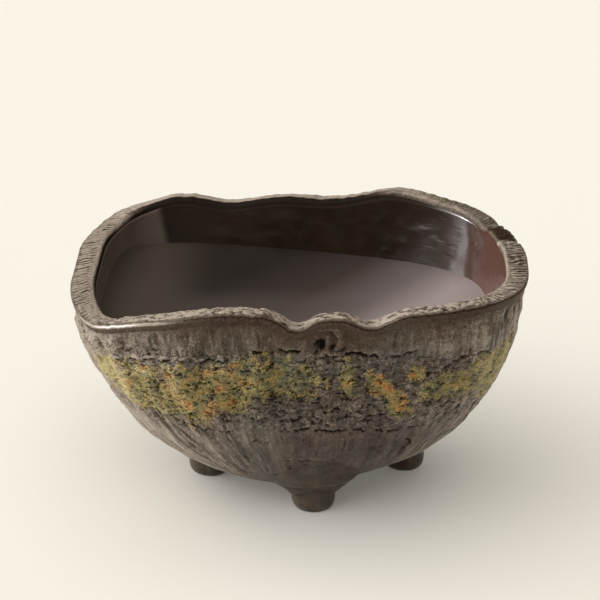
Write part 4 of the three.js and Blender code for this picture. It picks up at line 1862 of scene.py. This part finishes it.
@dataclass
class FloorSlab:
    """The floor slab, whose edge carries on the outer face of the wall down to a flat underside."""

    stations: int = 720
    edge_rows: int = 18
    under_rows: int = 26
    hollow: float = 0.35
    joint: float = 0.3
    form: PotForm = FORM

    def build(self) -> bpy.types.Object:
        """Makes the slab: loops out over the underside, up the edge and in over the top.

        Returns:
            The dressed piece.
        """
        form, angle = self.form, ring_of_angles(self.stations)
        seat = form.floor_top - form.seat_depth
        up = np.linspace(0, 1, self.edge_rows)[:, None] * np.ones((1, self.stations))
        z = mix(form.underside, seat, up)
        edge, edge_layers = bark_face(form, angle, z)
        middle = np.array([*form.base_shift, form.underside])
        under = mix(middle, edge[0], np.linspace(0.03, 1, self.under_rows)[:-1, None, None])
        uneven = self.hollow * NOISE.rough(under, 12, 3)
        under[..., 2] += uneven * np.linspace(1, 0, self.under_rows)[:-1, None]
        inset = form.base_plan(angle, form.floor_inset + self.joint, form.floor_squareness)
        step = np.stack([np.column_stack([inset, np.full(self.stations, h)]) for h in (seat, form.floor_top)])
        plain = [(points, blank(points.shape[:2])) for points in (under, step)]
        rows, layers = stack([plain[0], (edge, edge_layers), plain[1]])
        piece = skin("floor", rows, False, layers)
        dress(piece, SMOOTH_CLAY.make(), ("floor_slab",))
        return piece


class UndersideMap:
    """How high the body's outer face passes over each point of the ground plan."""

    rise = 0.5
    turns = 360

    def __init__(self, form: PotForm) -> None:
        """Tabulates the distance from the base's middle to the outer face, by direction and height.

        Args:
            form: the pot's form.
        """
        self.middle = np.array(form.base_shift)
        self.heights = np.arange(form.underside, form.lower_course_top, self.rise)
        self.directions = np.linspace(-np.pi, np.pi, self.turns + 1)
        angle = ring_of_angles(4 * self.turns)
        table = []
        for height in self.heights:
            p = form.outer(angle, np.full(angle.shape, height))[:, :2] - self.middle
            way = np.arctan2(p[:, 1], p[:, 0])
            order = np.argsort(way)
            table.append(np.interp(self.directions, way[order], np.hypot(*p.T)[order], period=2 * np.pi))
        self.reach = np.array(table)

    def over(self, x: Array, y: Array) -> Array:
        """Height of the body over points of the plan: where the reach first equals the point's distance.

        Args:
            x: points of the plan, left to right.
            y: points of the plan, front to back.

        Returns:
            Heights in mm.
        """
        way = np.arctan2(y - self.middle[1], x - self.middle[0])
        far = np.hypot(x - self.middle[0], y - self.middle[1])
        column = np.clip(np.round((way + np.pi) / (2 * np.pi) * self.turns).astype(int), 0, self.turns)
        flat = [np.interp(f, self.reach[:, c], self.heights) for f, c in zip(far.ravel(), column.ravel())]
        return np.array(flat).reshape(far.shape)


@dataclass
class Foot:
    """One stub foot, rounded at its tread and filleted onto the body above it."""

    name: str
    node: str
    x: float
    y: float
    radius: float = 11.8
    tread: float = 8.6
    edge: float = 6.5
    fillet: float = 8.0
    pad: float = 0.5
    sink: float = 1.6
    fullness: float = 0.28
    collar: float = 0.0
    collar_height: float = 23.5
    grain: float = 0.22
    sides: int = 120
    edge_rows: int = 14
    fillet_rows: int = 34
    tuck_rows: int = 4

    def flare(self, body: UndersideMap, side: Array, meet: Array) -> tuple[Array, Array]:
        """Radii and heights of the flare: on each side a quadratic curve from the stub to the body's own
        face one fillet further out, by way of a point a little outside the stub and below the body, and then
        a turn up into the body.

        Args:
            body: the map of the body's underside.
            side: outward directions, one for each side.
            meet: radius of the stub on each side.

        Returns:
            Rows of radii and of heights in mm.
        """
        roof_near = body.over(self.x + side[:, 0] * meet, self.y + side[:, 1] * meet)
        uneven = 1 + 3 * (meet / self.radius - 1)
        reach = meet + self.fillet * np.clip(1.3 - (roof_near - 16) / 26, 0.4, 1) * uneven
        roof_far = body.over(self.x + side[:, 0] * reach, self.y + side[:, 1] * reach)
        roof = np.minimum(roof_near, roof_far)
        start = np.maximum(self.edge, roof - self.fillet * 0.62)
        by_r, by_z = mix(meet, reach, self.fullness), roof - self.pad - 1.2
        t = np.linspace(0, 1, self.fillet_rows + 1)[1:, None]
        bend_r = (1 - t) ** 2 * meet + 2 * (1 - t) * t * by_r + t * t * reach
        bend_z = (1 - t) ** 2 * start + 2 * (1 - t) * t * by_z + t * t * (roof_far - self.pad)
        bulge = bell(bend_z - self.collar_height, 3.4) - 0.5 * bell(bend_z - self.collar_height + 4.2, 0.8)
        bend_r = bend_r + self.collar * bulge * smooth(1 - t, 0, 0.6)
        tuck = np.linspace(0, 1, self.tuck_rows + 1)[1:, None]
        tuck_r = reach + self.pad * 0.8 * np.sin(np.pi * tuck) - 1.2 * tuck**2
        tuck_z = roof_far - self.pad + (self.pad + self.sink) * tuck
        radii = np.concatenate([meet[None], bend_r, tuck_r])
        return radii, np.concatenate([start[None], bend_z, tuck_z])

    def build(self, body: UndersideMap) -> bpy.types.Object:
        """Makes the foot: a quarter oval at the tread, a flare that ends as a pressed pad on the body, and a
        cap inside the body. A collar of clay may bulge out over a pressed seam.

        Args:
            body: the map of the body's underside.

        Returns:
            The dressed piece.
        """
        turn = ring_of_angles(self.sides)
        lump = 1 + 0.02 * np.sin(2 * turn + self.x) + 0.015 * np.sin(3 * turn + self.y)
        side = np.stack([np.cos(turn), np.sin(turn)], -1)
        quarter = np.linspace(0, np.pi / 2, self.edge_rows)
        radius = mix(self.tread, self.radius, np.sin(quarter))[:, None] * lump
        height = (self.edge * (1 - np.cos(quarter)))[:, None] * np.ones(radius.shape)
        flare_r, flare_z = self.flare(body, side, self.radius * lump)
        cap_r, cap_z = self.radius * lump * 0.8, flare_z[-1] + 3
        radius = np.concatenate([radius, flare_r, cap_r[None]])
        height = np.concatenate([height, flare_z, cap_z[None]])
        rows = np.concatenate([np.array([self.x, self.y]) + side * radius[..., None], height[..., None]], -1)
        grain = NOISE.rough(rows, 5, 3)
        rows = rows + normals_of(rows) * (self.grain * grain * smooth(rows[..., 2], 0.3, 3.0))[..., None]
        rows[..., 2] = np.maximum(rows[..., 2], 0)
        layers = blank(rows.shape[:2])
        layers[Layer.RELIEF] = 0.8 * grain
        layers[Layer.TONE] = -0.1 + 0.1 * NOISE.rough(rows, 14, 2)
        piece = skin(self.name, rows, False, layers)
        dress(piece, FOOT_CLAY.make(), (self.node,))
        return piece


@dataclass
class KnotCurl:
    """The curl of clay that arches over the slot of the bark knot."""

    at: float = 278.0
    drop: float = 11.0
    radius: float = 6.2
    tallness: float = 1.1
    thickness: float = 4.4
    sunk: float = 1.3
    sunk_ends: float = 1.2
    grain: float = 0.3
    start: float = -70.0
    sweep: float = 250.0
    steps: int = 90
    sides: int = 28
    form: PotForm = FORM

    def build(self) -> bpy.types.Object:
        """Makes the curl: a tube along an open oval ring on the wall, thinner and sunk at its ends.

        Returns:
            The dressed piece.
        """
        angle = np.radians(np.array([self.at]))
        middle = self.form.outer(angle, self.form.mean_rim(angle) - self.drop)[0]
        normal = np.append(self.form.rim_normal(angle)[0], 0)
        along, up = np.array([-normal[1], normal[0], 0]), np.array([0, 0, 1.0])
        share = np.linspace(0, 1, self.steps)
        turn = np.radians(self.start + self.sweep * share)[:, None]
        taper = np.sqrt(np.clip(np.minimum(share, 1 - share) * 5, 0.02, 1))[:, None]
        centre = middle + self.radius * (np.cos(turn) * along + self.tallness * np.sin(turn) * up)
        centre = centre - normal * (self.sunk + self.sunk_ends * (1 - taper))
        radial = (np.cos(turn) * along + np.sin(turn) * up)[:, None]
        tube = ring_of_angles(self.sides)[None, :, None]
        thick = self.thickness / 2 * taper
        rows = centre[:, None] + thick[:, None] * (np.cos(tube) * radial - np.sin(tube) * normal)
        grain = NOISE.rough(rows, 3.2, 3)
        rows = rows + normals_of(rows) * (self.grain * grain * taper)[..., None]
        layers = blank(rows.shape[:2])
        layers[Layer.RELIEF] = 1.1 * grain
        piece = skin("knot_curl", rows, False, layers)
        dress(piece, RIM_CLAY.make(), ("bark_knot",))
        return piece


@dataclass(frozen=True)
class Lamp:
    """A soft light that faces the pot: where it hangs in degrees round from +X and up, how strong it is, how
    wide it looks in degrees, and its colour."""

    name: str
    azimuth: float
    elevation: float
    energy: float
    width: float
    colour: Colour
    distance: float = 3.0
    aim: float = 0.1

    def hang(self) -> bpy.types.Object:
        """Hangs the light.

        Returns:
            The lamp.
        """
        light = bpy.data.lights.new(self.name, "SUN")
        light.energy = self.energy
        light.angle = math.radians(self.width)
        light.color = self.colour
        a, e = math.radians(self.azimuth), math.radians(self.elevation)
        way = Vector((math.cos(e) * math.cos(a), math.cos(e) * math.sin(a), math.sin(e)))
        thing = aimed(self.name, light, way * self.distance + Vector((0, 0, self.aim)), way, "Z")
        thing.visible_camera = False
        return thing


def aimed(name: str, data: bpy.types.ID, location: Vector, way: Vector, axis: str) -> bpy.types.Object:
    """Puts a light or the camera into the scene, turned so that one of its axes points along a direction.

    Args:
        name: name of the object.
        data: the light or camera.
        location: its place in metres.
        way: the direction.
        axis: the object's own axis that takes the direction.

    Returns:
        The object.
    """
    thing = bpy.data.objects.new(name, data)
    thing.location = location
    thing.rotation_mode = "QUATERNION"
    thing.rotation_quaternion = way.to_track_quat(axis, "Y")
    bpy.context.scene.collection.objects.link(thing)
    return thing


@dataclass
class Studio:
    """What stands round the pot: a pale floor, still water in the bowl, soft lights and the camera."""

    water_level: float = 103.6
    water_sides: int = 360
    water_overlap: float = 1.006
    floor_half: float = 8.0
    camera_target: tuple[float, float, float] = (3.0, -11.12, 106.0)
    camera_elevation: float = math.radians(22.5)
    camera_distance: float = 780.0
    focal: float = 88.9
    sensor: float = 36.0
    room_colour: Colour = srgb(250, 246, 234)
    room_level: float = 0.42
    room_shown: float = 1.0
    room_mirrored: float = 0.16
    window: Lamp = Lamp("window", 182, 14, 2.3, 21, (0.97, 0.98, 1.0))
    fills: tuple[Lamp, ...] = (
        Lamp("side", 190, 22, 1.9, 85, (1.0, 0.99, 0.965)),
        Lamp("sky", 215, 75, 1.4, 80, (1.0, 0.985, 0.95)),
    )
    form: PotForm = FORM

    def water(self) -> None:
        """Lays the still water in the bowl as a flat sheet whose edge just enters the wall."""
        angle = ring_of_angles(self.water_sides)
        rim = self.form.inner(angle, np.full(angle.shape, self.water_level))
        middle = rim.mean(0)
        points = np.concatenate([middle[None], mix(middle, rim, self.water_overlap)])
        number = np.arange(1, self.water_sides + 1)
        fans = np.stack([np.zeros(self.water_sides, int), number, np.roll(number, -1)], -1)
        sheet = make_mesh("still_water", points, np.zeros((0, 4), int), fans, {})
        sheet.data.materials.append(Water().make())

    def floor(self) -> bpy.types.Object:
        """Lays a wide pale floor.

        Returns:
            The floor.
        """
        half = self.floor_half
        mesh = bpy.data.meshes.new("ground")
        corners = [(-half, -half, 0), (half, -half, 0), (half, half, 0), (-half, half, 0)]
        mesh.from_pydata(corners, [], [(0, 1, 2, 3)])
        mesh.materials.append(Paper().make())
        ground = bpy.data.objects.new("ground", mesh)
        bpy.context.scene.collection.objects.link(ground)
        return ground

    def spare(self, lamp: bpy.types.Object, thing: bpy.types.Object) -> None:
        """Keeps a lamp off one object, so that the object carries no shadow from it.

        Args:
            lamp: the lamp.
            thing: the object.
        """
        lit = bpy.data.collections.new(f"lit_by_{lamp.name}")
        lit.objects.link(thing)
        lamp.light_linking.receiver_collection = lit
        lit.collection_objects[0].light_linking.link_state = "EXCLUDE"

    def world(self) -> None:
        """Fills the room with an even soft light, and shows pale paper where nothing stands: its strength is
        the level, plus the difference to another level for the rays that the camera or a mirror sends."""
        world = bpy.data.worlds.new("room")
        world.use_nodes = True
        bpy.context.scene.world = world
        tree = world.node_tree
        shade = tree.nodes["Background"]
        shade.inputs["Color"].default_value = (*self.room_colour, 1)
        path = tree.nodes.new("ShaderNodeLightPath")
        under = None
        for ray, level in (("Is Camera Ray", self.room_shown), ("Is Glossy Ray", self.room_mirrored)):
            node = tree.nodes.new("ShaderNodeMath")
            node.operation = "MULTIPLY_ADD"
            tree.links.new(path.outputs[ray], node.inputs[0])
            node.inputs[1].default_value = level - self.room_level
            node.inputs[2].default_value = self.room_level
            if under is not None:
                tree.links.new(under, node.inputs[2])
            under = node.outputs[0]
        tree.links.new(under, shade.inputs["Strength"])

    def camera(self) -> None:
        """Sets the camera at the photograph's angle."""
        data = bpy.data.cameras.new("camera")
        data.lens = self.focal
        data.sensor_width = self.sensor
        back = Vector((0, -math.cos(self.camera_elevation), math.sin(self.camera_elevation)))
        location = (Vector(self.camera_target) + back * self.camera_distance) * MM
        bpy.context.scene.camera = aimed("camera", data, location, -back, "-Z")

    def build(self) -> None:
        """Sets up the whole studio."""
        self.camera()
        ground = self.floor()
        self.water()
        self.world()
        self.spare(self.window.hang(), ground)
        for lamp in self.fills:
            lamp.hang()
        bpy.context.scene.view_settings.view_transform = "Standard"


FEET = (
    Foot(
        "front_foot", "foot_front", 10, -35,
        fillet=13.0, pad=0.3, fullness=0.48, collar=2.4, collar_height=21.5,
    ),
    Foot("left_foot", "foot_left", -47, 4),
    Foot("right_foot", "foot_right", 61, 10),
    Foot("back_foot", "foot_back", 8, 41),
)


def main() -> None:
    """Builds the studio and then each piece of the pot."""
    logging.basicConfig(level=logging.INFO, format="%(name)s: %(message)s")
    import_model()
    Studio().build()
    FloorSlab().build()
    LowerCourse("lower_course", "lower_wall", "smooth_body", SMOOTH_CLAY).build()
    Course("bark_course", "bark_wall", "mossed_bark", BARK_CLAY).build()
    RimCourse().build()
    BowlCoat().build()
    KnotCurl().build()
    body = UndersideMap(FORM)
    for foot in FEET:
        foot.build(body)


if __name__ == "__main__":
    main()
